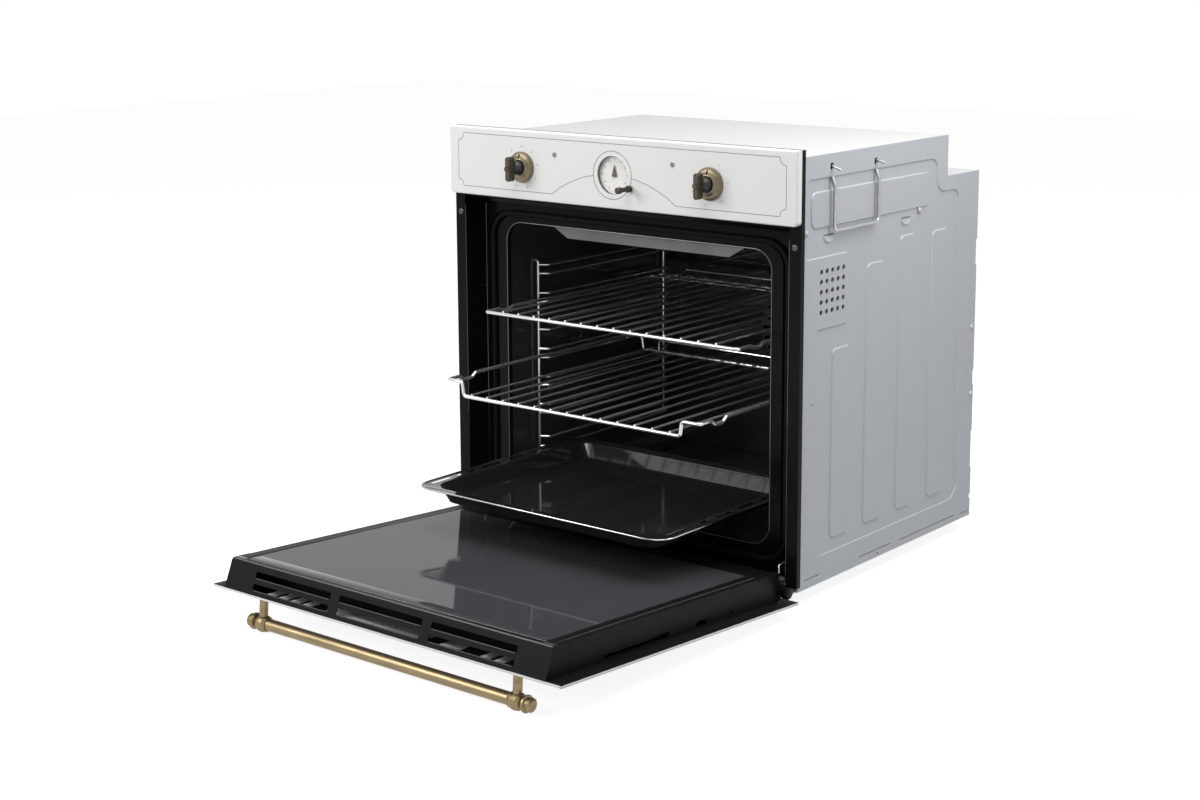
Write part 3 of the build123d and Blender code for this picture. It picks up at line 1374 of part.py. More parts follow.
with BuildPart() as handle_bracket_right:
    handle_bracket(1)
handle_bracket_right.part.label = "handle_bracket_right"
export_step(handle_bracket_right.part, "parts/handle_bracket_right.step")

with BuildPart() as handle_bracket_left:
    handle_bracket(-1)
handle_bracket_left.part.label = "handle_bracket_left"
export_step(handle_bracket_left.part, "parts/handle_bracket_left.step")

with BuildPart() as handle_finials:
    along_handle(FINIAL_PROFILE, 1)
    along_handle(FINIAL_PROFILE, -1)
handle_finials.part.label = "handle_finials"
export_step(handle_finials.part, "parts/handle_finials.step")

# Upper wire shelf: front bar, rear bar, side rails with a stop dip, rods and rear rail
SHELF_WIRE = 5.0
ROD_WIRE = 3.6
SHELF_REAR_Y = SHELF_FRONT_Y + SHELF_DEPTH


def across(half, y, z, width):
    """Adds a straight wire across the shelf."""
    wire([(-half, y, z), (half, y, z)], width)


with BuildPart() as top_shelf:
    across(SHELF_RAIL_X, SHELF_FRONT_Y, SHELF_Z, SHELF_WIRE + 0.6)
    across(SHELF_RAIL_X, SHELF_REAR_Y, SHELF_Z, SHELF_WIRE)
    for side in (-1, 1):
        x = side * SHELF_RAIL_X
        wire(
            [
                (x, SHELF_FRONT_Y - 2, SHELF_Z),
                (x, -6, SHELF_Z),
                (x, 2, SHELF_Z - 4),
                (x, 14, SHELF_Z - 4),
                (x, 22, SHELF_Z),
                (x, SHELF_REAR_Y + 2, SHELF_Z),
            ],
            SHELF_WIRE,
        )
        wire(
            [
                (side * SHELF_REAR_RAIL_X, SHELF_REAR_Y - 22, SHELF_Z + 2),
                (side * SHELF_REAR_RAIL_X, SHELF_REAR_Y - 1, SHELF_Z + 13),
            ],
            ROD_WIRE,
        )
    across(SHELF_REAR_RAIL_X + 2, SHELF_REAR_Y - 1, SHELF_Z + 12.5, ROD_WIRE)
    across(SHELF_RAIL_X, SHELF_REAR_Y - 22, SHELF_Z, ROD_WIRE)
    for number in range(SHELF_RODS):
        x = (number - (SHELF_RODS - 1) / 2) * SHELF_PITCH
        wire([(x, SHELF_FRONT_Y - 0.6, SHELF_Z + 2.6), (x, SHELF_REAR_Y, SHELF_Z + 2.6)], ROD_WIRE)
top_shelf.part.label = "top_shelf"
export_step(top_shelf.part, "parts/top_shelf.step")

# Lower grid: its floor hangs below the side rails
GRID_WIRE = 5.6
GRID_REAR_Y = GRID_FRONT_Y + SHELF_DEPTH
with BuildPart() as grid_rack:
    for y in (GRID_FRONT_Y, GRID_REAR_Y):
        wire(
            [
                (-GRID_RAIL_X - 1, y, GRID_RAIL_Z),
                (-GRID_END_X, y, GRID_RAIL_Z),
                (-GRID_END_X + 3, y, GRID_FLOOR_Z),
                (GRID_END_X - 3, y, GRID_FLOOR_Z),
                (GRID_END_X, y, GRID_RAIL_Z),
                (GRID_RAIL_X + 1, y, GRID_RAIL_Z),
            ],
            GRID_WIRE,
        )
    for side in (-1, 1):
        x = side * GRID_RAIL_X
        wire(
            [
                (x, GRID_FRONT_Y - 2, GRID_RAIL_Z),
                (x, -90, GRID_RAIL_Z),
                (x, -82, GRID_RAIL_Z - 6),
                (x, -68, GRID_RAIL_Z - 6),
                (x, -60, GRID_RAIL_Z),
                (x, GRID_REAR_Y + 2, GRID_RAIL_Z),
            ],
            SHELF_WIRE,
        )
    wire(
        [
            (-GRID_REAR_RAIL_X, GRID_REAR_Y, GRID_FLOOR_Z),
            (-GRID_REAR_RAIL_X, GRID_REAR_Y, GRID_RAIL_Z - 2.5),
            (GRID_REAR_RAIL_X, GRID_REAR_Y, GRID_RAIL_Z - 2.5),
            (GRID_REAR_RAIL_X, GRID_REAR_Y, GRID_FLOOR_Z),
        ],
        ROD_WIRE,
    )
    for number in range(GRID_RODS):
        x = (number - (GRID_RODS - 1) / 2) * GRID_PITCH
        rod_z = GRID_FLOOR_Z + 2.8
        wire([(x, GRID_FRONT_Y - 0.6, rod_z), (x, GRID_REAR_Y + 0.6, rod_z)], ROD_WIRE)
grid_rack.part.label = "grid_rack"
export_step(grid_rack.part, "parts/grid_rack.step")

# Baking tray: a rim with rolled edge and long slots, and a shallow basin
TRAY_REAR_Y = TRAY_FRONT_Y + TRAY_DEPTH
TRAY_SIDE_RIM = 24.0
TRAY_FRONT_RIM = 17.0
RIM_SLOT = 39.0
RIM_SLOT_PITCH = 53.0
tray_mid_y = (TRAY_FRONT_Y + TRAY_REAR_Y) / 2
with BuildPart() as baking_tray:
    with BuildSketch(Plane.XY.offset(TRAY_RIM_Z - 2.4)):
        with Locations((0, tray_mid_y)):
            RectangleRounded(2 * TRAY_HALF, TRAY_DEPTH, 20)
            RectangleRounded(2 * TRAY_HALF - 6, TRAY_DEPTH - 6, 17, mode=Mode.SUBTRACT)
    extrude(amount=2.4)
    with BuildSketch(Plane.XY.offset(TRAY_RIM_Z - 2)):
        with Locations((0, tray_mid_y)):
            RectangleRounded(2 * TRAY_HALF - 4, TRAY_DEPTH - 4, 18)
    extrude(amount=SHEET)
    with BuildSketch(Plane.XY.offset(TRAY_RIM_Z - 2 + SHEET)):
        with Locations((0, tray_mid_y)):
            RectangleRounded(
                2 * (TRAY_HALF - TRAY_SIDE_RIM),
                TRAY_DEPTH - 2 * TRAY_FRONT_RIM,
                26,
            )
    extrude(amount=-TRAY_BASIN_DEPTH, taper=18)
    with BuildSketch(Plane.XY.offset(TRAY_RIM_Z - 2 + SHEET)):
        with Locations((0, tray_mid_y)):
            RectangleRounded(
                2 * (TRAY_HALF - TRAY_SIDE_RIM - SHEET),
                TRAY_DEPTH - 2 * TRAY_FRONT_RIM - 2 * SHEET,
                25,
            )
    extrude(amount=-(TRAY_BASIN_DEPTH - SHEET), taper=18, mode=Mode.SUBTRACT)
    with BuildSketch(Plane.XY.offset(TRAY_RIM_Z - 5)):
        for x in (-TRAY_HALF + 11.5, TRAY_HALF - 11.5):
            with Locations((x, tray_mid_y)):
                with GridLocations(1, RIM_SLOT_PITCH, 1, 6):
                    RectangleRounded(6, RIM_SLOT, 2.4)
    extrude(amount=10, mode=Mode.SUBTRACT)
baking_tray.part.label = "baking_tray"
export_step(baking_tray.part, "parts/baking_tray.step")
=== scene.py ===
# %% [markdown]
# # A built-in oven, dressed
# The steel work of this oven is already there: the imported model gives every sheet,
# glass and knob at its real place. This lesson adds what a photographer would see:
# round wires, pressed sides, printed lines, and a finish for every piece. Sizes are
# written in millimetres and multiplied by MM, because Blender works in metres. X
# runs right, Y runs back into the kitchen unit and Z runs up.

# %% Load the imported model
from math import cos, radians, sin, tan

import bpy
from mathutils import Matrix, Vector


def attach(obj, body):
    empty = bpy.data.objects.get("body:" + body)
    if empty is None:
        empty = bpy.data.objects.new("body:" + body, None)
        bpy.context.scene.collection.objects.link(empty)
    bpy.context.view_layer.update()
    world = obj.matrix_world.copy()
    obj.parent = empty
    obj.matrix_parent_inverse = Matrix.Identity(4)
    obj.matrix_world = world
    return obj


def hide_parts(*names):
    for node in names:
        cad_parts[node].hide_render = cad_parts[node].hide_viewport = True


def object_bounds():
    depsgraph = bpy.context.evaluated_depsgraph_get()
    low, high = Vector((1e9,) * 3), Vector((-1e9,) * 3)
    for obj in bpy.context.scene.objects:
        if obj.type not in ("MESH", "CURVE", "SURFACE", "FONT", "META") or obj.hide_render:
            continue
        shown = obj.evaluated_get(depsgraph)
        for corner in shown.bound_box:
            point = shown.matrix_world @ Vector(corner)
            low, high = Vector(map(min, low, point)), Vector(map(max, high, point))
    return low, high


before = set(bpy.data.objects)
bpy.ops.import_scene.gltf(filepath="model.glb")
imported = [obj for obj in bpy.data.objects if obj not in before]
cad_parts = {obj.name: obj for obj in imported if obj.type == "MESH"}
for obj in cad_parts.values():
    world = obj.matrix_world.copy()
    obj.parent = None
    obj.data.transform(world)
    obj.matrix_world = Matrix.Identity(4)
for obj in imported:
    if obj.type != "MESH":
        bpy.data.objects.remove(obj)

MM = 0.001
cad_box = [list(corner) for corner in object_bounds()]
print("CAD box", cad_box)

# %% [markdown]
# ## The camera
# The photograph was taken from the front right and a little above, with a lens of
# about 60 mm. Its place was found by matching corners of the front and the door, so
# it is written down as a place and three directions.

# %% Camera
CAMERA_PLACE = Vector((1.6903, -2.1413, 0.8650))
CAMERA_RIGHT = Vector((0.77875, 0.62732, -0.00445))
CAMERA_UP = Vector((-0.10858, 0.14177, 0.98393))
CAMERA_FORWARD = Vector((-0.61786, 0.76575, -0.17852))
LENS_MM, SENSOR_MM = 60.66, 36.0
PHOTO_WIDTH, PHOTO_SHIFT = 1200, -100
scene = bpy.context.scene
camera_data = bpy.data.cameras.new("oven_camera")
camera_data.lens = LENS_MM
camera_data.sensor_width = SENSOR_MM
camera_data.shift_y = PHOTO_SHIFT / PHOTO_WIDTH
camera_data.clip_end = 30.0
camera = bpy.data.objects.new("oven_camera", camera_data)
scene.collection.objects.link(camera)
turn = Matrix((CAMERA_RIGHT, CAMERA_UP, -CAMERA_FORWARD)).transposed().to_4x4()
camera.matrix_world = Matrix.Translation(CAMERA_PLACE) @ turn
scene.camera = camera
scene.view_settings.view_transform = "Standard"
print("camera at", tuple(CAMERA_PLACE))

# %% [markdown]
# ## Writing shader maths as plain sums
# A finish needs small sums, such as "a little rougher where the noise is dark".
# Wiring Math nodes by hand hides the sum, so this class wraps a socket and turns
# Python's own signs into Math nodes. `Finish.node` adds any other node.


# %% Sockets that add up
class Value:
    """One number that varies over the surface."""

    def __init__(self, finish, socket):
        self.finish = finish
        self.socket = socket

    def sum(self, operation, *others):
        return self.finish.node("ShaderNodeMath", self, *others, operation=operation)

    def __add__(self, other):
        return self.sum("ADD", other)

    __radd__ = __add__

    def __mul__(self, other):
        return self.sum("MULTIPLY", other)

    __rmul__ = __mul__

    def __rsub__(self, other):
        return self.finish.node("ShaderNodeMath", other, self, operation="SUBTRACT")

    def clamped(self):
        """The value held between 0 and 1."""
        return self.sum("MAXIMUM", 0.0).sum("MINIMUM", 1.0)


class Finish:
    """A material built up node by node."""

    def __init__(self, name):
        self.material = bpy.data.materials.new(name)
        self.material.use_nodes = True
        self.tree = self.material.node_tree
        self.shader = self.tree.nodes["Principled BSDF"]
        place = self.tree.nodes.new("ShaderNodeTexCoord")
        self.place = Value(self, place.outputs["Object"])

    def fill(self, socket, value):
        """Links a value to a socket, or sets the socket to a number or a colour."""
        if isinstance(value, Value):
            self.tree.links.new(value.socket, socket)
        elif value is not None:
            socket.default_value = (*value, 1) if socket.type == "RGBA" else value

    def node(self, kind, *inputs, operation=None, **named):
        """Adds a node, then fills its sockets in order or by name."""
        made = self.tree.nodes.new(kind)
        if operation:
            made.operation = operation
        pairs = list(zip(made.inputs, inputs))
        pairs += [(made.inputs[key.replace("_", " ")], v) for key, v in named.items()]
        for socket, value in pairs:
            self.fill(socket, value)
        return Value(self, made.outputs[0])

    def noise(self, scale, detail=3.0, rough=0.5, stretch=None):
        """Cloudy noise on object coordinates, stretched along an axis if asked."""
        where = self.place
        if stretch:
            where = self.node("ShaderNodeMapping", self.place, Scale=stretch)
        return self.node("ShaderNodeTexNoise", where, None, scale, detail, rough)

    def mix(self, factor, low, high):
        """A colour between two colours."""
        made = self.tree.nodes.new("ShaderNodeMix")
        made.data_type = "RGBA"
        for number, value in ((0, factor), (6, low), (7, high)):
            self.fill(made.inputs[number], value)
        return Value(self, made.outputs[2])

    def set(self, **sockets):
        """Gives the shader constants or links, by the names of its sockets."""
        for key, value in sockets.items():
            self.fill(self.shader.inputs[key.replace("_", " ")], value)

    def bump(self, height, distance):
        """Feeds a height in metres to the shader's normal."""
        self.set(Normal=self.node("ShaderNodeBump", Height=height, Distance=distance))


print("sockets can be added, multiplied and taken from a number")

# %% [markdown]
# ## Finishes
# A finish is one colour only from far off. Enamel has a faint orange peel,
# galvanised sheet a cloudy bloom, and antique brass is darker where hands don't
# polish it. Each kind of finish has a maker below, which adds those marks to a new
# finish, and a table with one row for every finish of that kind.


# %% Enamel, white and black
FINISHES = {}


def make_all(maker, table):
    """Makes one finish for each row of a table and keeps it by its name."""
    for name, row in table.items():
        finish = Finish(name)
        maker(finish, *row)
        FINISHES[name] = finish.material
    print(maker.__name__, "made", ", ".join(table))


def enamel(finish, colour, shade, gloss, peel, specular):
    """Fired enamel: a smooth coat with orange peel and a hint of uneven gloss."""
    cloud = finish.noise(9.0, 3.0)
    fine = finish.noise(420.0, 2.0)
    finish.set(
        Base_Color=finish.mix(cloud, colour, shade),
        Roughness=(cloud * 0.08 + gloss).clamped(),
        Specular_IOR_Level=specular,
    )
    finish.bump(fine, peel)


# Colour, darker shade, gloss, orange peel and how strongly it mirrors.
ENAMELS = {
    "white_enamel": ((0.86, 0.86, 0.85), (0.82, 0.82, 0.815), 0.19, 2e-5, 0.45),
    "black_enamel": ((0.0045, 0.0045, 0.005), (0.007, 0.007, 0.0078), 0.12, 3e-5, 0.06),
    "black_paint": ((0.006, 0.006, 0.0065), (0.009, 0.009, 0.0095), 0.34, 4e-5, 0.06),
    "cavity_enamel": ((0.040, 0.040, 0.042), (0.055, 0.055, 0.058), 0.01, 1e-5, 0.5),
    "tray_enamel": ((0.014, 0.014, 0.0145), (0.020, 0.020, 0.021), 0.03, 1e-5, 0.9),
    # The fan grille's grey, also the lighter enamel that paints highlights on door edges.
    "grille_and_highlight_enamel": ((0.05, 0.05, 0.052), (0.07, 0.07, 0.072), 0.16, 1e-5, 0.9),
    "satin_trim": ((0.05, 0.05, 0.052), (0.07, 0.07, 0.072), 0.22, 2e-5, 0.6),
    # Pale sheet behind the top slots, brightened as painted light inside them.
    "lit_slot_lining": ((0.85, 0.85, 0.86), (0.72, 0.72, 0.73), 0.4, 2e-5, 0.3),
    "printed_line": ((0.34, 0.33, 0.28), (0.28, 0.27, 0.23), 0.4, 1e-5, 0.3),
    "pale_ink": ((0.50, 0.50, 0.49), (0.42, 0.42, 0.41), 0.4, 1e-5, 0.3),
    "faint_ink": ((0.22, 0.22, 0.21), (0.17, 0.17, 0.165), 0.4, 1e-5, 0.3),
    # Dark grey for the dial well: painted shade inside the recess.
    "well_shade_grey": ((0.045, 0.045, 0.045), (0.03, 0.03, 0.03), 0.3, 1e-5, 0.2),
    "lens_grey": ((0.58, 0.58, 0.60), (0.50, 0.50, 0.52), 0.2, 1e-5, 0.4),
    # Grey for the skin's edge wires: painted shade along the edge.
    "skin_edge_shade": ((0.26, 0.26, 0.27), (0.20, 0.20, 0.21), 0.3, 1e-5, 0.3),
    # Lighter glossy black for painted highlights on the mouth lip and post folds.
    "lip_highlight_enamel": ((0.016, 0.016, 0.017), (0.024, 0.024, 0.025), 0.06, 1e-5, 1.0),
    "seal_rubber": ((0.006, 0.006, 0.006), (0.009, 0.009, 0.009), 0.6, 4e-5, 0.05),
}
make_all(enamel, ENAMELS)


# %% Galvanised sheet
def galvanised_sheet(finish, light, dark, metallic=0.35):
    """Zinc-coated sheet: big soft spangles over fine rolling lines."""
    spangle = finish.noise(26.0, 4.0, 0.55)
    rolling = finish.noise(60.0, 2.0, 0.5, (1.0, 0.08, 1.0))
    mask = (spangle * 0.7 + rolling * 0.3).clamped()
    finish.set(
        Base_Color=finish.mix(mask, dark, light),
        Metallic=metallic,
        Roughness=(spangle * 0.2 + 0.36).clamped(),
    )
    finish.bump(spangle, 6e-5)


# Light tone, dark tone, and how metallic it looks.
SHEETS = {
    "galvanised": ((0.52, 0.545, 0.58), (0.45, 0.475, 0.51), 0.05),
    "plain_steel": ((0.50, 0.50, 0.50), (0.36, 0.36, 0.37)),
    "pale_zinc": ((0.60, 0.60, 0.60), (0.56, 0.56, 0.57), 0.05),
}
make_all(galvanised_sheet, SHEETS)


# %% Bright wire, brass and bronze
def metal(finish, light, dark, rough, grain, stretch=None, metallic=1.0):
    """Bare or plated metal: two tones mixed by a grain, rougher where it is dark."""
    cloud = finish.noise(grain, 4.0, 0.6, stretch)
    finish.set(
        Base_Color=finish.mix(cloud, dark, light),
        Metallic=metallic,
        Roughness=((1 - cloud) * 0.16 + rough).clamped(),
    )
    finish.bump(cloud, 3e-5)


# Light tone, dark tone, roughness, grain, how it is stretched, and how metallic it is.
METALS = {
    "bright_wire": ((0.78, 0.78, 0.79), (0.52, 0.52, 0.53), 0.06, 40.0, None, 0.8),
    "bail_steel": ((0.60, 0.60, 0.61), (0.34, 0.34, 0.35), 0.06, 60.0),
    # Bright metal for the painted highlight on the tray's bead.
    "bead_highlight_metal": ((0.62, 0.62, 0.63), (0.40, 0.40, 0.41), 0.08, 40.0),
    # A painted highlight for the ground edge of the door glass.
    "glass_edge_highlight": ((0.34, 0.34, 0.35), (0.20, 0.20, 0.21), 0.14, 50.0),
    "antique_brass": (
        (0.34, 0.265, 0.15), (0.15, 0.112, 0.062), 0.28, 160.0, (0.15, 1.0, 1.0)
    ),
    "aged_bronze": ((0.10, 0.088, 0.066), (0.036, 0.032, 0.024), 0.34, 140.0),
    "bell_bronze": ((0.25, 0.205, 0.14), (0.10, 0.082, 0.055), 0.30, 120.0),
    "dull_aluminium": ((0.15, 0.15, 0.153), (0.07, 0.07, 0.072), 0.30, 18.0),
    "dark_bronze": ((0.09, 0.072, 0.05), (0.05, 0.04, 0.03), 0.35, 120.0),
    "heater_sheath": ((0.20, 0.20, 0.19), (0.10, 0.10, 0.10), 0.40, 90.0),
    "bright_aluminium": ((0.80, 0.81, 0.82), (0.66, 0.67, 0.68), 0.24, 60.0),
}
make_all(metal, METALS)


# %% Plastics and wool
def plastic(finish, light, dark, rough, coat=0.0, bump_size=4e-5):
    """Moulded plastic or rubber with a fine moulded grain."""
    grain = finish.noise(260.0, 3.0)
    finish.set(
        Base_Color=finish.mix(grain, dark, light),
        Roughness=(grain * 0.12 + rough).clamped(),
        Coat_Weight=coat,
    )
    finish.bump(grain, bump_size)


# Light tone, dark tone, roughness, clear coat and depth of the grain.
PLASTICS = {
    "dark_ball": ((0.012, 0.010, 0.011), (0.008, 0.006, 0.007), 0.30, 0.0, 1e-5),
    "switch_plastic": ((0.78, 0.78, 0.75), (0.70, 0.70, 0.67), 0.4),
    "motor_iron": ((0.16, 0.16, 0.165), (0.10, 0.10, 0.10), 0.45),
    "dark_plastic": ((0.045, 0.045, 0.048), (0.03, 0.03, 0.032), 0.4),
    "glass_wool": ((0.80, 0.76, 0.58), (0.62, 0.58, 0.42), 0.9, 0.0, 1e-3),
    "smoked_lens": ((0.26, 0.26, 0.26), (0.18, 0.18, 0.18), 0.2, 0.3, 1e-5),
    "dial_paper": ((0.94, 0.93, 0.89), (0.90, 0.89, 0.85), 0.45, 0.0, 1e-5),
}
make_all(plastic, PLASTICS)


# %% Glass
def dark_glass(finish, colour, shade, alpha):
    """Heat-reflecting door glass: near black, mirror smooth, with faint wipe marks."""
    wipe = finish.noise(14.0, 2.0, 0.5, (1.0, 0.4, 1.0))
    finish.set(
        Base_Color=finish.mix(wipe, colour, shade),
        Roughness=(wipe * 0.03 + 0.03).clamped(),
        Specular_IOR_Level=0.08,
        Alpha=alpha,
    )


# Colour, shade and how much of it hides what lies behind.
GLASSES = {
    "door_glass": ((0.046, 0.049, 0.053), (0.058, 0.061, 0.065), 1.0),
    "clear_glass": ((0.92, 0.93, 0.93), (0.88, 0.89, 0.89), 0.04),
}
make_all(dark_glass, GLASSES)

# %% [markdown]
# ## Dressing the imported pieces
# The glass, the frame and the inner works already have their true shape, so they
# only need a finish. One table says which finish goes on which piece. A piece that
# is replaced further down gets one here as well, so that none is ever bare.


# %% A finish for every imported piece
def pair(name):
    """The names of a right and a left piece."""
    return [f"{name}_right", f"{name}_left"]


FINISH_OF = {
    "white_enamel": ["control_panel", "door_skin"],
    "black_enamel": ["front_frame", "baking_tray"],
    "cavity_enamel": ["cavity_liner"],
    "grille_and_highlight_enamel": ["fan_grille"],
    "black_paint": [
        "door_top_profile", "door_bottom_profile",
        # The hinge channels are black here as painted shade inside the door's side slots.
        *pair("door_side"), *pair("hinge_channel"),
    ],
    "galvanised": [
        *pair("side_panel"), "rear_cover", "base_panel", "air_duct", "blower_housing",
    ],
    "pale_zinc": ["top_cover"],
    "plain_steel": ["thermostat", "selector_shaft", "thermostat_shaft"],
    "bright_wire": [*pair("ladder"), *pair("bail"), "top_shelf", "grid_rack"],
    "antique_brass": ["handle_bar", *pair("handle_bracket"), "handle_finials"],
    "bell_bronze": ["selector_bell", "thermostat_bell"],
    "aged_bronze": ["selector_lever", "thermostat_lever", "timer_stem"],
    "dark_bronze": ["timer_pointer"],
    "heater_sheath": ["grill_heater", "base_heater"],
    "bright_aluminium": ["fan_wheel", "blower_rotor"],
    "dull_aluminium": ["grill_reflector"],
    "dark_ball": ["selector_ball", "thermostat_ball"],
    "seal_rubber": ["door_seal"],
    "switch_plastic": ["selector_switch", "terminal_block"],
    "motor_iron": ["fan_motor", "blower_motor"],
    # The hinge claws and receivers are darkened as painted shade.
    "satin_trim": ["hinge_claws", "hinge_receivers"],
    "dark_plastic": ["timer_body"],
    "glass_wool": ["insulation"],
    "smoked_lens": ["indicator_lenses"],
    "dial_paper": ["dial_face"],
    "door_glass": ["door_inner_glass", "door_middle_glass"],
    "clear_glass": ["dial_lens"],
}
for finish, pieces in FINISH_OF.items():
    for piece in pieces:
        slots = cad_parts[piece].data.materials
        slots.clear()
        slots.append(FINISHES[finish])
bare = set(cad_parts) - {piece for pieces in FINISH_OF.values() for piece in pieces}
print("pieces with no finish yet:", sorted(bare))

# %% [markdown]
# ## Modelling by hand: the tools
# Most new pieces here are turned on a lathe, bent from wire or pressed. A turned
# piece starts as a disc that is extruded and scaled ring by ring. A wire starts as
# a small circle that is extruded along each straight run and spun round each bend,
# which is also how a bending machine makes it. A pressed plate is drawn up ring by
# ring from a rounded outline.


# %% Clean start and finish for each piece
def mm(*values, side=1):
    """Millimetres turned into metres, mirrored to the left when the side is -1."""
    return [values[0] * side * MM] + [value * MM for value in values[1:]]


def begin():
    """Leaves edit mode with nothing selected."""
    if bpy.context.object and bpy.context.object.mode == "EDIT":
        bpy.ops.object.mode_set(mode="OBJECT")
    bpy.ops.object.select_all(action="DESELECT")


def pick(*pieces):
    """Selects pieces, the last one active."""
    begin()
    for piece in pieces:
        piece.select_set(True)
    bpy.context.view_layer.objects.active = pieces[-1]


def open_up(piece):
    """Enters edit mode with the whole piece selected."""
    pick(piece)
    bpy.ops.object.mode_set(mode="EDIT")
    bpy.ops.mesh.select_all(action="SELECT")


def close_up():
    """Turns every face outwards and leaves edit mode."""
    bpy.ops.mesh.select_all(action="SELECT")
    bpy.ops.mesh.normals_make_consistent(inside=False)
    bpy.ops.object.mode_set(mode="OBJECT")


def settle(piece, name, finish, smooth=35):
    """Bakes the place into the mesh, smooths it, names it and gives its finish."""
    pick(piece)
    bpy.ops.object.transform_apply(location=True, rotation=True, scale=True)
    bpy.ops.object.shade_smooth_by_angle(angle=radians(smooth))
    piece.name = name
    piece.data.name = name
    piece.data.materials.clear()
    piece.data.materials.append(FINISHES[finish])
    return piece


def copied(piece, shift):
    """A copy with its own mesh, moved by a shift."""
    pick(piece)
    bpy.ops.object.duplicate_move(TRANSFORM_OT_translate={"value": shift})
    twin = bpy.context.object
    bpy.ops.object.transform_apply(location=True, rotation=False, scale=False)
    return twin


def joined(pieces, name):
    """Several pieces made into one."""
    pick(*pieces)
    if len(pieces) > 1:
        bpy.ops.object.join()
    whole = bpy.context.object
    whole.name = name
    whole.data.name = name
    return whole


def tell(piece):
    """Prints what was made."""
    print(piece.name, len(piece.data.polygons), "faces")


# %% A turned piece
def turned(name, rings, place, direction, finish, sides=48, smooth=35):
    """Turns rings of (radius, distance along the axis), all in millimetres."""
    begin()
    radius, height = rings[0]
    bpy.ops.mesh.primitive_circle_add(
        vertices=sides, radius=radius * MM, fill_type="NGON", location=(0, 0, height * MM)
    )
    piece = bpy.context.object
    bpy.ops.object.transform_apply(location=True, rotation=False, scale=False)
    open_up(piece)
    for next_radius, next_height in rings[1:]:
        rise = (next_height - height) * MM
        bpy.ops.mesh.extrude_region_move(TRANSFORM_OT_translate={"value": (0, 0, rise)})
        grow = (next_radius / radius, next_radius / radius, 1)
        bpy.ops.transform.resize(value=grow, center_override=(0, 0, next_height * MM))
        radius, height = next_radius, next_height
    close_up()
    piece.rotation_euler = Vector(direction).to_track_quat("Z", "Y").to_euler()
    piece.location = place
    return settle(piece, name, finish, smooth)


# %% A bent wire
def bent_wire(name, points, finish, width, bend=1, sides=12, steps=5):
    """Bends a wire through points in millimetres, with one inside radius for all bends."""
    begin()
    points = [Vector(point) * MM for point in points]
    ahead = (points[1] - points[0]).normalized()
    bpy.ops.mesh.primitive_circle_add(
        vertices=sides,
        radius=width / 2 * MM,
        fill_type="NOTHING",
        location=points[0],
        rotation=ahead.to_track_quat("Z", "Y").to_euler(),
    )
    piece = bpy.context.object
    bpy.ops.object.transform_apply(location=True, rotation=True, scale=False)
    open_up(piece)
    here = points[0]
    for before, corner, after in zip(points, points[1:], points[2:]):
        way_in = (corner - before).normalized()
        way_out = (after - corner).normalized()
        angle = way_in.angle(way_out)
        trim = bend * MM * tan(angle / 2)
        run = corner - way_in * trim - here
        bpy.ops.mesh.extrude_edges_move(TRANSFORM_OT_translate={"value": run})
        axle = way_in.cross(way_out).normalized()
        centre = corner - way_in * trim + axle.cross(way_in) * bend * MM
        bpy.ops.mesh.spin(steps=steps, angle=angle, center=centre, axis=-axle)
        here = corner + way_out * trim
    bpy.ops.mesh.extrude_edges_move(TRANSFORM_OT_translate={"value": points[-1] - here})
    bpy.ops.mesh.select_all(action="SELECT")
    bpy.ops.mesh.remove_doubles(threshold=1e-6)
    bpy.ops.mesh.fill_holes(sides=0)
    close_up()
    return settle(piece, name, finish)


def mirrored(side, points):
    """Points given for the right, or their mirror image for the left."""
    return [(side * x, y, z) for x, y, z in points]


def both_sides(name, points, finish, width, **how):
    """The same wire bent for the left and for the right, ready to be joined."""
    return [
        bent_wire(name, mirrored(side, points), finish, width, **how) for side in (-1, 1)
    ]


# %% A pressed plate
def pressed(name, rings, corner, centre=(0, 0), steps=6):
    """Draws a rounded plate up through rings of (half width, half depth, height)."""
    begin()
    wide, deep, height = rings[0]
    bpy.ops.mesh.primitive_plane_add(size=2)
    piece = bpy.context.object
    piece.name = name
    open_up(piece)
    bpy.ops.transform.resize(value=(wide * MM, deep * MM, 1), center_override=(0, 0, 0))
    if corner:
        bpy.ops.mesh.bevel(offset=corner * MM, segments=steps, affect="VERTICES")
    middle = Vector((*centre, 0)) * MM
    bpy.ops.transform.translate(value=middle + Vector((0, 0, height * MM)))
    for next_wide, next_deep, next_height in rings[1:]:
        rise = (next_height - height) * MM
        bpy.ops.mesh.extrude_region_move(TRANSFORM_OT_translate={"value": (0, 0, rise)})
        bpy.ops.transform.resize(
            value=(next_wide / wide, next_deep / deep, 1), center_override=middle
        )
        wide, deep, height = next_wide, next_deep, next_height
    close_up()
    return piece


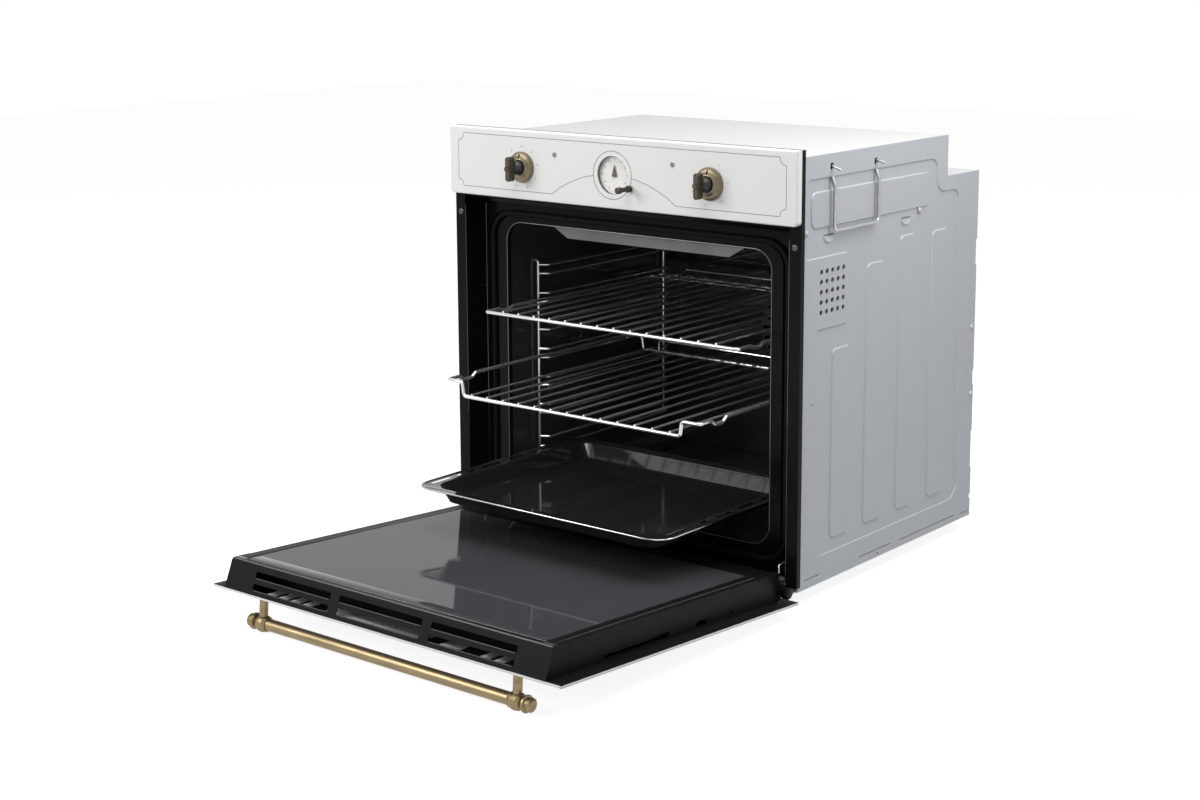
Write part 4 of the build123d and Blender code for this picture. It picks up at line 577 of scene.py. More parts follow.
def traced(name, points, levels, corner=0.0, steps=4):
    """Traces an outline point by point, fills it, and steps it through levels.

    A level is a height and how far the outline draws in on the way to it."""
    begin()
    height = levels[0][0]
    bpy.ops.mesh.primitive_plane_add(size=0.001)
    piece = bpy.context.object
    piece.name = name
    open_up(piece)
    bpy.ops.mesh.merge(type="CENTER")
    bpy.ops.transform.translate(value=Vector((*points[0], height)) * MM)
    for before, after in zip(points, points[1:]):
        step = Vector((after[0] - before[0], after[1] - before[1], 0)) * MM
        bpy.ops.mesh.extrude_vertices_move(TRANSFORM_OT_translate={"value": step})
    bpy.ops.mesh.select_all(action="SELECT")
    bpy.ops.mesh.edge_face_add()
    if corner:
        bpy.ops.mesh.bevel(offset=corner * MM, segments=steps, affect="VERTICES")
    for next_height, drawn_in in levels[1:]:
        rise = (0, 0, (next_height - height) * MM)
        if drawn_in:
            bpy.ops.mesh.inset(thickness=drawn_in * MM, depth=0, use_boundary=True)
            bpy.ops.transform.translate(value=rise)
        else:
            bpy.ops.mesh.extrude_region_move(TRANSFORM_OT_translate={"value": rise})
        height = next_height
    close_up()
    return piece


# %% Cutting, laying and flattening
def combined(piece, other, operation):
    """Joins a piece with another, or cuts it with it. The other is used up."""
    pick(piece)
    bpy.ops.object.modifier_add(type="BOOLEAN")
    step = piece.modifiers[-1]
    step.operation = operation
    step.solver = "EXACT"
    step.object = other
    bpy.ops.object.modifier_apply(modifier=step.name)
    bpy.data.objects.remove(other)
    return piece


def laid(piece, across, up, out, origin):
    """Lays a piece drawn flat into a plane given by its three axes, in millimetres."""
    pick(piece)
    axes = Matrix((across, up, out)).transposed().to_4x4()
    piece.matrix_world = Matrix.Translation(Vector(origin) * MM) @ axes
    bpy.ops.object.transform_apply(location=True, rotation=True, scale=True)
    return piece


def flattened(piece, y, share):
    """Squashes a piece in depth towards a level, to make wire into a printed line."""
    open_up(piece)
    bpy.ops.transform.resize(value=(1, share, 1), center_override=(0, y * MM, 0))
    bpy.ops.object.mode_set(mode="OBJECT")
    return piece


print("a lathe, a bending machine and a press are ready")

# %% [markdown]
# ## The ladders
# Each ladder is two uprights with fourteen thin runners. Only one runner is bent;
# the others are copies of it at other heights.

# %% Ladders
SIDES = ((1, "right"), (-1, "left"))
WALL_X, RUN_X, LADDER_FRONT, LADDER_BACK = 229.6, 216.0, 93.0, 400.0
UPRIGHT_PATH = [(234.8, 100), (WALL_X, 100), (WALL_X, 391), (234.8, 391)]
RUNNER_TOP, PAIRS, PAIR_PITCH, PAIR_GAP, LOWEST_PAIR = 384.5, 6, 42.2, 13, [124.1, 109.1]
RUNNER_HEIGHTS = [
    RUNNER_TOP - PAIR_PITCH * step - gap for step in range(PAIRS) for gap in (0, PAIR_GAP)
] + LOWEST_PAIR
RUNNER_PATH = [
    (WALL_X - 1, LADDER_FRONT, RUNNER_TOP), (RUN_X, LADDER_FRONT + 9, RUNNER_TOP),
    (RUN_X, LADDER_BACK - 9, RUNNER_TOP), (WALL_X - 1, LADDER_BACK, RUNNER_TOP),
]
for side, label in SIDES:
    points = mirrored(side, RUNNER_PATH)
    runner = bent_wire("runner", points, "bright_wire", 3.9, bend=6, sides=10, steps=3)
    wires = [runner]
    for height in RUNNER_HEIGHTS[1:]:
        wires.append(copied(runner, mm(0, 0, height - RUNNER_TOP)))
    for y in (LADDER_FRONT, LADDER_BACK):
        points = mirrored(side, [(x, y, z) for x, z in UPRIGHT_PATH])
        wires.append(bent_wire("upright", points, "bright_wire", 4.9, bend=4, steps=4))
    ladder = joined(wires, f"ladder_wires_{label}")
    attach(ladder, "oven")
    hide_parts(f"ladder_{label}")
    tell(ladder)

# %% [markdown]
# ## The upper shelf
# A frame of thick wire carries fourteen thin rods. The side rails dip just behind
# the front, which stops the shelf from being pulled right out by accident.

# %% Upper shelf
FRAME_WIRE, ROD_WIRE, ROD_RISE, ROD_END = 5.2, 3.4, 3.4, 1.5
SHELF_FRONT, SHELF_BACK, SHELF_Z, SHELF_RAIL = -34.2, 375.8, 333.7, 219.0
SHELF_PATH = [
    (0, SHELF_BACK, 0), (SHELF_RAIL, SHELF_BACK, 0), (SHELF_RAIL, 24, 0),
    (SHELF_RAIL, 15, -3.6), (SHELF_RAIL, 3, -3.6), (SHELF_RAIL, -6, 0),
    (SHELF_RAIL, SHELF_FRONT, 0), (0, SHELF_FRONT, 0),
]
SHELF_STOP, STOP_FOOT = 166, 22


def thin_wire(name, points, bend=1):
    """A rod or a cross wire of a rack."""
    return bent_wire(name, points, "bright_wire", ROD_WIRE, bend, sides=10)


def rods(name, count, pitch, front, back, height):
    """A row of rods laid over a frame and standing a little past its front and back."""
    x, z = -(count - 1) / 2 * pitch, height + ROD_RISE
    rod = thin_wire(name, [(x, front - ROD_END, z), (x, back + ROD_END, z)])
    return [rod] + [copied(rod, (pitch * MM * n, 0, 0)) for n in range(1, count)]


def back_rail(name, half, low, high):
    """The raised rail at the back of a rack, which keeps a dish from sliding off."""
    points = [(-half, *low), (-half, *high), (half, *high), (half, *low)]
    return thin_wire(name, points, bend=4)


points = [(x, y, SHELF_Z + lift) for x, y, lift in SHELF_PATH]
shelf_wires = both_sides("shelf_frame", points, "bright_wire", FRAME_WIRE, bend=5)
shelf_wires += rods("shelf_rod", 14, 28.5, SHELF_FRONT, SHELF_BACK, SHELF_Z)
low, high = (SHELF_BACK - STOP_FOOT, SHELF_Z + 1), (SHELF_BACK - 1, SHELF_Z + 12.5)
shelf_wires.append(back_rail("shelf_back_rail", SHELF_STOP, low, high))
points = [(x, SHELF_BACK - STOP_FOOT, SHELF_Z) for x in (-SHELF_RAIL, SHELF_RAIL)]
shelf_wires.append(thin_wire("shelf_cross_wire", points))
shelf = joined(shelf_wires, "shelf_wires")
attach(shelf, "upper_shelf")
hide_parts("top_shelf")
tell(shelf)

# %% [markdown]
# ## The grid rack
# This one hangs its floor below the rails, so a roast sits lower. Its front bar
# rises at both ends, turns outwards and runs back as the rail, all in one wire.

# %% Grid rack
GRID_FRONT, GRID_BACK, GRID_FLOOR, GRID_RAIL_Z = -116.7, 293.3, 229.9, 249.6
GRID_RAIL, GRID_END, GRID_STOP = 218.5, 190.7, 157
GRID_PATH = [
    (0, GRID_BACK, GRID_FLOOR), (GRID_END - 3, GRID_BACK, GRID_FLOOR),
    (GRID_END, GRID_BACK, GRID_RAIL_Z), (GRID_RAIL, GRID_BACK, GRID_RAIL_Z),
    (GRID_RAIL, -58, GRID_RAIL_Z), (GRID_RAIL, -67, GRID_RAIL_Z - 6),
    (GRID_RAIL, -83, GRID_RAIL_Z - 6), (GRID_RAIL, -92, GRID_RAIL_Z),
    (GRID_RAIL, GRID_FRONT, GRID_RAIL_Z), (GRID_END, GRID_FRONT, GRID_RAIL_Z),
    (GRID_END - 3, GRID_FRONT, GRID_FLOOR), (0, GRID_FRONT, GRID_FLOOR),
]
grid_wires = both_sides("grid_frame", GRID_PATH, "bright_wire", FRAME_WIRE, bend=5)
grid_wires += rods("grid_rod", 13, 28.7, GRID_FRONT, GRID_BACK, GRID_FLOOR)
low, high = (GRID_BACK, GRID_FLOOR), (GRID_BACK, GRID_RAIL_Z - 2.5)
grid_wires.append(back_rail("grid_back_rail", GRID_STOP, low, high))
grid = joined(grid_wires, "grid_wires")
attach(grid, "lower_grid")
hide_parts("grid_rack")
tell(grid)

# %% [markdown]
# ## The baking tray
# The tray is drawn from one black-enamelled sheet. The draw starts under the floor,
# comes up the outside, rolls the rim over, and goes down the inside to the floor, so
# the piece is closed and has the sheet's thickness everywhere.

# %% Baking tray
TRAY_RIM_Z, TRAY_CENTRE, TRAY_CORNER = 113.3, (0, -16), 24
TRAY_RINGS = [
    (170, 135, -24.9), (174, 139, -24.9), (181, 149, -24.2), (185.5, 154, -22.0),
    (193.9, 163.2, -1.5), (213.6, 176.2, -1.5), (215.2, 177.5, -2.6), (216.2, 178.5, -2.1),
    (216.6, 178.9, -1.2), (216.3, 178.6, -0.3), (215.1, 177.5, 0), (213.9, 176.4, -0.35),
    (213.5, 176.0, -0.8), (194.4, 164.2, -0.8), (192.9, 162.4, -1.3), (192.2, 161.4, -2.4),
    (184.4, 153, -21.4), (182.6, 150.8, -22.8), (180, 148, -23.7), (176, 144, -24.1),
    (171, 139, -24.1),
]
RIM_SLOT, RIM_SLOT_X, RIM_SLOT_PITCH = (3, 19.5), 205.2, 53
tray = pressed(
    "baking_tray_sheet",
    [(wide, deep, TRAY_RIM_Z + height) for wide, deep, height in TRAY_RINGS],
    TRAY_CORNER, TRAY_CENTRE, steps=8,
)
slot = pressed(
    "slot", [(*RIM_SLOT, TRAY_RIM_Z + height) for height in (-6, 6)], corner=2.9, steps=4
)
slots = []
for side in (-1, 1):
    for step in range(6):
        y = TRAY_CENTRE[1] + (step - 2.5) * RIM_SLOT_PITCH
        slots.append(copied(slot, mm(RIM_SLOT_X, y, 0, side=side)))
bpy.data.objects.remove(slot)
tray = combined(tray, joined(slots, "slots"), "DIFFERENCE")
settle(tray, "baking_tray_sheet", "tray_enamel", smooth=50)
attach(tray, "tray")
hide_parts("baking_tray")
tell(tray)

# %% [markdown]
# ## The side panels
# The galvanised sides are pressed inwards in one big field, which stiffens them.
# Four long beads, the pad for the lifting bail and the pad with the vent holes stay
# at the old level. In the press that is one shape, so here the pads are cut out of
# the field first, and the field is then sunk into the sheet in one go.

# %% Side panels
SHEET_IN, SHEET_OUT, FIELD_FLOOR = 272.3, 275.0, 273.2
SHEET_OUTLINE = [(28, 0), (497, 0), (497, 522), (404, 522), (404, 581), (28, 581)]
FIELD_OUTLINE = [
    (80, 37), (440, 37), (455, 54), (440, 493), (427, 502), (389, 502), (377, 512),
    (376, 542), (365, 551), (39, 551), (39, 400), (70, 344),
]
# Each pad is its front, back, foot and top, and its corner.
VENT_PAD = (30, 142, 350, 445, 9)
PADS = [
    (51, 356, 486, 532, 12), VENT_PAD, (107, 149, 57, 317, 9),
    (192, 235, 57, 421, 9), (279, 319, 57, 449, 9), (367, 408, 57, 446, 9),
]
VENT_CENTRE, VENT_PITCH, VENT_RADIUS = (103, 399), 13.5, 3.9
SEAM_SLOTS = [
    (44, 82, 11.9, 13.1), (182, 267, 10.6, 11.8), (290, 450, 9.4, 10.6),
    (468, 498, 7.4, 8.6), (230.5, 233.5, 3.6, 6.6), (494, 498, 382, 420),
    (494.6, 498, 202, 224), (494.6, 498, 75, 131), (494, 498, 26, 33), (55, 58, 250, 252),
]
LOUVRES = [(94, 469), (292, 469.5)]
BULGE, HOLLOW = (14, 10, 4.2), (11.5, 8.5, 2.9)
BAIL_HOLES = [(97.5, 564), (207.5, 561)]
THROUGH = [(SHEET_IN - 2, 0), (SHEET_OUT + 2, 0)]


def pad(front, back, foot, top, levels, corner=0.0):
    """A block between four edges, through levels of (height, how much wider)."""
    wide, deep = (back - front) / 2, (top - foot) / 2
    rings = [(wide + more, deep + more, height) for height, more in levels]
    return pressed("pad", rings, corner, ((front + back) / 2, (foot + top) / 2), steps=4)


def dome(y, z, level, size):
    """A flattened ball, for the bulge and the hollow of a louvre."""
    begin()
    bpy.ops.mesh.primitive_uv_sphere_add(
        segments=24, ring_count=12, radius=1, location=mm(y, z, level), scale=mm(*size)
    )
    bpy.ops.object.transform_apply(location=True, rotation=False, scale=True)
    return bpy.context.object


def louvred(sheet, y, z):
    """Raises half a dome under the sheet's level, hollows it and slits its top."""
    bulge = dome(y, z + 3, SHEET_IN, BULGE)
    for place, way in (((0, z + 3, 0), (0, 1, 0)), ((0, 0, SHEET_IN + 0.3), (0, 0, -1))):
        open_up(bulge)
        bpy.ops.mesh.bisect(
            plane_co=mm(*place), plane_no=way, use_fill=True, clear_outer=True
        )
        bpy.ops.object.mode_set(mode="OBJECT")
    sheet = combined(sheet, bulge, "UNION")
    sheet = combined(sheet, dome(y - 1, z + 4, SHEET_OUT + 1.2, HOLLOW), "DIFFERENCE")
    return combined(sheet, pad(y - 13, y + 13, z + 4.2, z + 5.6, THROUGH), "DIFFERENCE")


def side_sheet(with_vents):
    """One side, drawn flat: Y runs along local X, Z along local Y, outwards is up."""
    sheet = traced("sheet", SHEET_OUTLINE, [(SHEET_IN, 0), (SHEET_OUT, 0)])
    sink = [(SHEET_OUT + 1, 0), (SHEET_OUT, 0), (FIELD_FLOOR, 1.5)]
    field = traced("field", FIELD_OUTLINE, sink, corner=7)
    rise = [(FIELD_FLOOR - 0.4, 2.0), (SHEET_OUT, 0), (SHEET_OUT + 3, 0)]
    for *edges, corner in PADS:
        if with_vents or (*edges, corner) != VENT_PAD:
            field = combined(field, pad(*edges, rise, corner), "DIFFERENCE")
    sheet = combined(sheet, field, "DIFFERENCE")
    groove = [(SHEET_IN + 0.5, 0), (SHEET_OUT + 2, 0)]
    cuts = [pad(*edges, groove) for edges in SEAM_SLOTS]
    rings = [(VENT_RADIUS, level) for level, _ in THROUGH]
    hole = turned("hole", rings, (0, 0, 0), (0, 0, 1), "galvanised", sides=8)
    if with_vents:
        for row in range(-2, 3):
            for column in range(-2, 3):
                y = VENT_CENTRE[0] + column * VENT_PITCH
                z = VENT_CENTRE[1] + row * VENT_PITCH
                cuts.append(copied(hole, mm(y, z, 0)))
    for y, z in BAIL_HOLES:
        cuts.append(pad(y - 4.5, y + 4.5, z - 5, z + 5, THROUGH, corner=4))
    bpy.data.objects.remove(hole)
    sheet = combined(sheet, joined(cuts, "cuts"), "DIFFERENCE")
    for y, z in LOUVRES:
        sheet = louvred(sheet, y, z)
    return sheet


def on_side(piece, side):
    """Stands a piece that was drawn flat up against the right or the left side."""
    return laid(piece, (0, 1, 0), (0, 0, 1), (side, 0, 0), (0, 0, 0))


for side, label in SIDES:
    sheet = on_side(side_sheet(side > 0), side)
    open_up(sheet)
    bpy.ops.mesh.remove_doubles(threshold=1e-6)
    close_up()
    settle(sheet, f"side_sheet_{label}", "galvanised", smooth=14)
    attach(sheet, "oven")
    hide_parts(f"side_panel_{label}")
    tell(sheet)

# %% [markdown]
# ## Screws and painted shade behind the holes
# Each side is held by domed screws. Behind the vents, the bail holes and the louvre
# slits lie dark plates of painted shade, which is why the holes read as black dots.

# %% Screws and painted shade plates
SIDE_SCREWS = [(327, 481), (38, 481), (487, 290), (490, 188)]
SCREW_RINGS = [(4.0, 0), (4.0, 0.6), (3.4, 1.5), (2.2, 2.1), (1.3, 2.25), (1.1, 1.4)]
SCREW_X, SHADE_PLATE_IN, SHADE_PLATE_OUT = SHEET_OUT - 0.1, 270.9, 272.0
# Each place with a painted shade plate is its middle and its half sizes.
SHADE_PLATE_PLACES = [(*VENT_CENTRE, 34, 34)] + [(y, z, 6, 6) for y, z in BAIL_HOLES]
SHADE_PLATE_PLACES += [(y, z + 6, 15, 4) for y, z in LOUVRES]
for side, label in SIDES:
    screws, shade_plates = [], []
    for y, z in SIDE_SCREWS:
        place = mm(SCREW_X, y, z, side=side)
        screws.append(turned("screw", SCREW_RINGS, place, (side, 0, 0), "pale_zinc", 20))
    screws = joined(screws, f"side_screws_{label}")
    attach(screws, "oven")
    # Dark plates behind the holes: painted shade, so the holes read black.
    for y, z, wide, deep in SHADE_PLATE_PLACES:
        rings = [(wide, deep, SHADE_PLATE_IN), (wide, deep, SHADE_PLATE_OUT)]
        shade_plates.append(on_side(pressed("shade_plate", rings, 3, (y, z), steps=3), side))
    shade_plates = joined(shade_plates, f"hole_shade_plate_{label}")
    open_up(shade_plates)
    close_up()
    settle(shade_plates, f"hole_shade_plate_{label}", "black_paint")
    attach(shade_plates, "oven")
print("eight screws and the shields")

# %% [markdown]
# ## The lifting bails
# A bail is one wire bent into a U, with its ends cranked in towards the sheet. It
# hangs flat against the side and swings up when the oven is lifted into its unit.
# Over each leg a short hook stands out of a hole and stays with the body.

# %% Lifting bails
BAIL_FRONT, BAIL_BACK = 97, 207
BAIL_PATH = [
    (275.6, BAIL_FRONT, 550), (280.4, BAIL_FRONT, 537), (280.4, BAIL_FRONT, 480),
    (280.4, BAIL_BACK, 480), (280.4, BAIL_BACK, 537), (275.6, BAIL_BACK, 550),
]
BAIL_HOOKS = [
    [(274.8, BAIL_FRONT, 564.6), (282.0, BAIL_FRONT, 562.2), (289.5, BAIL_FRONT, 559.4)],
    [(274.8, BAIL_BACK, 562.8), (282.0, BAIL_BACK, 561.3), (289.5, BAIL_BACK, 559.4)],
]
for side, label in SIDES:
    points = mirrored(side, BAIL_PATH)
    bail = bent_wire("bail", points, "bail_steel", FRAME_WIRE, bend=6, sides=14, steps=6)
    hooks = []
    for path in BAIL_HOOKS:
        points = mirrored(side, path)
        hooks.append(bent_wire("bail_end", points, "bail_steel", 3.4, bend=8, steps=3))
    hooks = joined(hooks, f"bail_hooks_{label}")
    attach(hooks, "oven")
    bail = joined([bail], f"bail_wire_{label}")
    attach(bail, f"{label}_bail")
    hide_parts(f"bail_{label}")
    tell(bail)

# %% [markdown]
# ## The printed line on the control panel
# A thin line runs round the panel, steps in at the corners, and swings up at the
# bottom to meet a ring round the dial. On the real panel it is screen printed, so
# here it is wire pressed almost flat against the enamel.

# %% Printed line
PANEL_Y, FLATNESS = -19.0, 0.12
DIAL_Z, DIAL_RING = 543.5, 32.7
LINE_PATH = [
    (0, 586), (271, 586), (272.5, 580), (275, 577), (281, 575), (281, 520), (275, 518),
    (272.5, 515), (272, 510), (107, 510), (92.8, 519.7), (75.1, 528.3), (57.5, 535.4),
    (45, 538.8), (DIAL_RING, 541),
]
points = [(x, PANEL_Y, z) for x, z in LINE_PATH]
lines = both_sides("line", points, "printed_line", width=1.1, bend=0.8, sides=8, steps=2)
begin()
bpy.ops.mesh.primitive_torus_add(
    major_segments=96, minor_segments=8, major_radius=DIAL_RING * MM, minor_radius=0.6 * MM,
    location=mm(0, PANEL_Y, DIAL_Z), rotation=(radians(90), 0, 0),
)
lines.append(settle(bpy.context.object, "ring", "printed_line"))
line = flattened(joined(lines, "panel_line"), PANEL_Y, FLATNESS)
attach(line, "oven")
tell(line)

# %% [markdown]
# ## The dial
# The timer's face sits at the bottom of a short tube, so its rim throws a shadow at
# the top left; the tube is dark grey all round, painted shade in the recess. The print
# is a ring of minutes in tens with a fine tick between them.
# Letters start as text, become mesh, and only then go to their place.

# %% Dial
FRONTWARDS = (0, -1, 0)
WELL_RINGS = [(28.2, 0), (28.2, 6.4), (27.6, 6.9), (26.9, 6.9), (26.5, 6.4), (26.5, 0.6)]
WELL_Y, FACE_Y, TICK_RING, NUMBER_RING = -11.8, -13.05, 24.6, 20.6
TICK, TICK_RISE = (0.16, 0.9), 0.06
LAST_MINUTE, TICK_MINUTES, DEGREES_A_MINUTE = 120, 5, 3


def printed_text(body, size, x, z, y, ink):
    """A few printed letters standing on the front, centred on a point."""
    begin()
    bpy.ops.object.text_add()
    text = bpy.context.object
    text.data.body = body
    text.data.size = size * MM
    text.data.align_x = text.data.align_y = "CENTER"
    text.data.resolution_u = 2
    bpy.ops.object.convert(target="MESH")
    text = bpy.context.object
    bpy.ops.object.transform_apply(location=True, rotation=True, scale=True)
    text.rotation_euler = (radians(90), 0, 0)
    text.location = mm(x, y, z)
    return settle(text, "letters", ink)


well = turned(
    "dial_well", WELL_RINGS, mm(0, WELL_Y, DIAL_Z), FRONTWARDS, "well_shade_grey", 96, smooth=40
)
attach(well, "oven")
tick = pressed("tick", [(*TICK, 0), (*TICK, TICK_RISE)], 0, (0, TICK_RING), steps=1)
prints = []
for minute in range(0, LAST_MINUTE, TICK_MINUTES):
    angle = radians(-minute * DEGREES_A_MINUTE)
    mark = copied(tick, (0, 0, 0))
    stood_up = Matrix.Rotation(radians(90), 4, "X") @ Matrix.Rotation(angle, 4, "Z")
    mark.matrix_world = Matrix.Translation(mm(0, FACE_Y, DIAL_Z)) @ stood_up
    prints.append(settle(mark, "tick", "printed_line"))
    if minute % 10 == 0:
        x, z = -sin(angle) * NUMBER_RING, DIAL_Z + cos(angle) * NUMBER_RING
        prints.append(printed_text(str(minute), 3.4, x, z, FACE_Y - 0.05, "faint_ink"))
bpy.data.objects.remove(tick)
prints = joined(prints, "dial_numbers")
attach(prints, "oven")
tell(prints)

# %% [markdown]
# ## Marks round the knobs
# The thermostat has its temperatures and the selector a mark for each way of
# cooking. Each bell carries one dark line that points at them.

# %% Knob marks
KNOB_X, KNOB_Z, MARK_RING = 161.5, 543.8, 29.0
SYMBOLS, MARK_RINGS = 9, [(1.5, 0), (1.5, 0.05), (1.0, 0.05), (1.0, 0.02)]
TEMPERATURES, FIRST_ANGLE, ANGLE_STEP = (50, 100, 150, 200, 250), 30, 54
BEZEL_X, BEZEL_Z = 101.5, 565
BEZEL_RINGS = [(3.7, 0), (3.7, 0.5), (3.3, 0.9), (2.8, 0.9), (2.4, 0.3)]
marks = []
for step in range(SYMBOLS):
    angle = radians(step * 360 / SYMBOLS)
    x, z = -KNOB_X + sin(angle) * MARK_RING, KNOB_Z + cos(angle) * MARK_RING
    square_or_round = 4 if step % 2 else 12
    place = mm(x, PANEL_Y, z)
    marks.append(turned("mark", MARK_RINGS, place, FRONTWARDS, "pale_ink", square_or_round))
for step, temperature in enumerate(TEMPERATURES):
    angle = radians(step * ANGLE_STEP + FIRST_ANGLE)
    x, z = KNOB_X + sin(angle) * MARK_RING, KNOB_Z + cos(angle) * MARK_RING
    marks.append(printed_text(str(temperature), 3.6, x, z, PANEL_Y - 0.04, "pale_ink"))
marks = joined(marks, "knob_marks")
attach(marks, "oven")
for x, knob in ((-KNOB_X, "selector_knob"), (KNOB_X, "thermostat_knob")):
    points = [(x, -27.0, KNOB_Z + 12), (x, -24.2, KNOB_Z + 18.6)]
    index = bent_wire(f"index_{knob}", points, "black_paint", width=1.3, sides=8, steps=1)
    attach(index, knob)
for side, label in reversed(SIDES):
    place = mm(BEZEL_X, PANEL_Y, BEZEL_Z, side=side)
    bezel = turned(f"lamp_bezel_{label}", BEZEL_RINGS, place, FRONTWARDS, "lens_grey", 32)
    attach(bezel, "oven")
print("marks, two index lines and two lamp rings")

# %% [markdown]
# ## Edges of the door
# The inner glass ends in a ground edge, whose light line is a painted highlight in grey
# metal. Round it lie the black border and the rolled edge of the top profile; the rolled
# edge, the border's edge, the profile's corners and the slot lips are strips of lighter
# enamel that paint highlights. The outer skin is white outside and black inside, so its
# margin is covered with a black coat here.

# %% Door edges
DOOR_CORNER = Vector((0, 3.959, -3.979))
DOOR_LEAN = radians(86.33)
DOOR_UP = Vector((0, -sin(DOOR_LEAN), cos(DOOR_LEAN)))
DOOR_IN = Vector((0, cos(DOOR_LEAN), sin(DOOR_LEAN)))
GLASS_FACE, GLASS_SIDE, GLASS_EDGE, SKIN_FACE = 41.0, 40.35, 252.5, 3.0
COAT_FACE, COAT = GLASS_FACE + 0.02, 0.2
SKIN_EDGE, SKIN_TOP, MARGIN_LOW, MARGIN_SIDE = 296.9, 491.9, 6.2, 273.6
SLOT_MIDDLES = (("left", -154, 138), ("middle", 1, 142), ("right", 155, 136))
SLOT_ROWS = (("low", 490.3, 8.6), ("high", 485.3, 23.4))
LININGS = [
    (-206, -192), (-184, -170), (-162, -148), (-140, -126), (-99, 71), (96, 128),
    (162, 176), (184, 198),
]


def door_point(x, up, inward):
    """A point given across, up and into the door, in millimetres."""
    return Vector((x, 0, 0)) + DOOR_CORNER + DOOR_UP * up + DOOR_IN * inward


def door_sheet(name, across, low, high, level, finish, thick=COAT):
    """A thin sheet lying on the door between two edges across it and two up it."""
    left, right = sorted(across)
    middle = door_point((left + right) / 2, (low + high) / 2, level)
    wide, deep = (right - left) / 2, (high - low) / 2
    rings = [(wide, deep, 0), (wide, deep, thick * 0.6), (wide - 0.15, deep - 0.15, thick)]
    sheet = pressed(name, rings, corner=0.4, steps=2)
    laid(sheet, (-1, 0, 0), DOOR_UP, DOOR_IN, middle)
    settle(sheet, name, finish, smooth=60)
    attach(sheet, "door")


def door_wire(name, points, width, finish):
    """A thin edge or lip along points given across, up and into the door."""
    points = [door_point(*point) for point in points]
    wire = bent_wire(name, points, finish, width, bend=2, sides=8, steps=3)
    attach(wire, "door")


door_sheet("glass_top_strip", (-GLASS_EDGE, GLASS_EDGE), 449.6, 467.5, COAT_FACE,
           "door_glass")
for side, label in reversed(SIDES):
    door_sheet(f"glass_border_{label}", (side * GLASS_EDGE, side * 262.6), 65, 468,
               COAT_FACE, "black_paint")
    door_sheet(f"skin_coat_{label}", (side * MARGIN_SIDE, side * SKIN_EDGE), MARGIN_LOW,
               SKIN_TOP, SKIN_FACE, "black_paint")
    # A grey wire along the skin's edges: painted shade where the white sheet turns away.
    door_wire(f"skin_edge_{label}",
              [(side * SKIN_EDGE, 6.5, 0.5), (side * SKIN_EDGE, SKIN_TOP, 0.5),
               (side * 240, SKIN_TOP, 0.5)], 1.1, "skin_edge_shade")
    # The border's edge, the glass edge and the top corners are painted highlights.
    door_wire(f"border_edge_{label}",
              [(side * 264, 64, GLASS_FACE - 0.3), (side * 264, 466, GLASS_FACE - 0.3)],
              1.0, "grille_and_highlight_enamel")
    door_wire(f"glass_edge_{label}",
              [(side * 246, 66.5, GLASS_SIDE), (side * GLASS_EDGE, 66.5, GLASS_SIDE),
               (side * GLASS_EDGE, 469, GLASS_SIDE), (0, 469, GLASS_SIDE)],
              1.8, "glass_edge_highlight")
    door_sheet(f"top_corner_{label}", (side * 254, side * 270), 469.5, 475.5, COAT_FACE,
               "grille_and_highlight_enamel")
door_sheet("skin_coat_low", (-MARGIN_SIDE, MARGIN_SIDE), MARGIN_LOW, 19, SKIN_FACE,
           "black_paint")
# The rolled edge's lighter enamel is a painted highlight.
door_wire("rolled_edge", [(-271, 477.4, 39.2), (271, 477.4, 39.2)], 3.6, "grille_and_highlight_enamel")
# Pale sheets behind some top slots: the door's inner sheet, brightened as painted light.
for number, across in enumerate(LININGS):
    door_sheet(f"slot_lining_{number}", across, 453, 487, 4.4, "lit_slot_lining",
               thick=0.8)
# The slot lips' lighter enamel is a painted highlight.
for label, middle, length in SLOT_MIDDLES:
    left, right = middle - length / 2 + 2, middle + length / 2 - 2
    for row, up, inward in SLOT_ROWS:
        door_wire(f"slot_lip_{label}_{row}", [(left, up, inward), (right, up, inward)], 0.9,
                  "grille_and_highlight_enamel")
print("door edges in place")

# %% [markdown]
# ## Edges of the front frame
# The mouth's turned lip and the folds of the posts are rounded, and wires of a
# lighter, glossier black lie along them as painted highlights, fine light lines. The
# frame is held by two dark countersunk screws. The hinge hooks stand out of their
# slots in bare metal.

# %% Frame edges
MOUTH_HALF, MOUTH_LOW, MOUTH_HIGH, SEAT_Y = 230.5, 56.0, 457.0, 26.0
FOLD_FOOT, FOLD_TOP, FOLDS = 32, 480, ((270.3, SEAT_Y, 1.3), (279.6, -7.9, 1.2))
FRAME_SCREW, FRAME_MARKS = (288, -8.45, 470), [(272, SEAT_Y, 273), (272, SEAT_Y, 358)]
SCREW_HEAD = [(4.2, 0), (4.2, 0.3), (3.7, 0.9), (2.6, 1.2), (1.6, 1.2), (1.3, 0.5)]
MARK_HEAD = [(1.5, 0), (1.3, 0.5), (0.6, 0.7)]
HOOK_PATH = [(268.7, 16, 68), (268.7, 16, 46), (268.7, -8, 47), (268.7, -7.5, 35)]
CAP_RINGS, CAP_PLACE = [(8.0, 0), (9.6, 1.2), (9.6, 9), (8.0, 10)], (274.5, -4.6, 11.0)
MOUTH_PATH = [
    (0, SEAT_Y, MOUTH_HIGH), (MOUTH_HALF, SEAT_Y, MOUTH_HIGH),
    (MOUTH_HALF, SEAT_Y, MOUTH_LOW), (0, SEAT_Y, MOUTH_LOW),
]
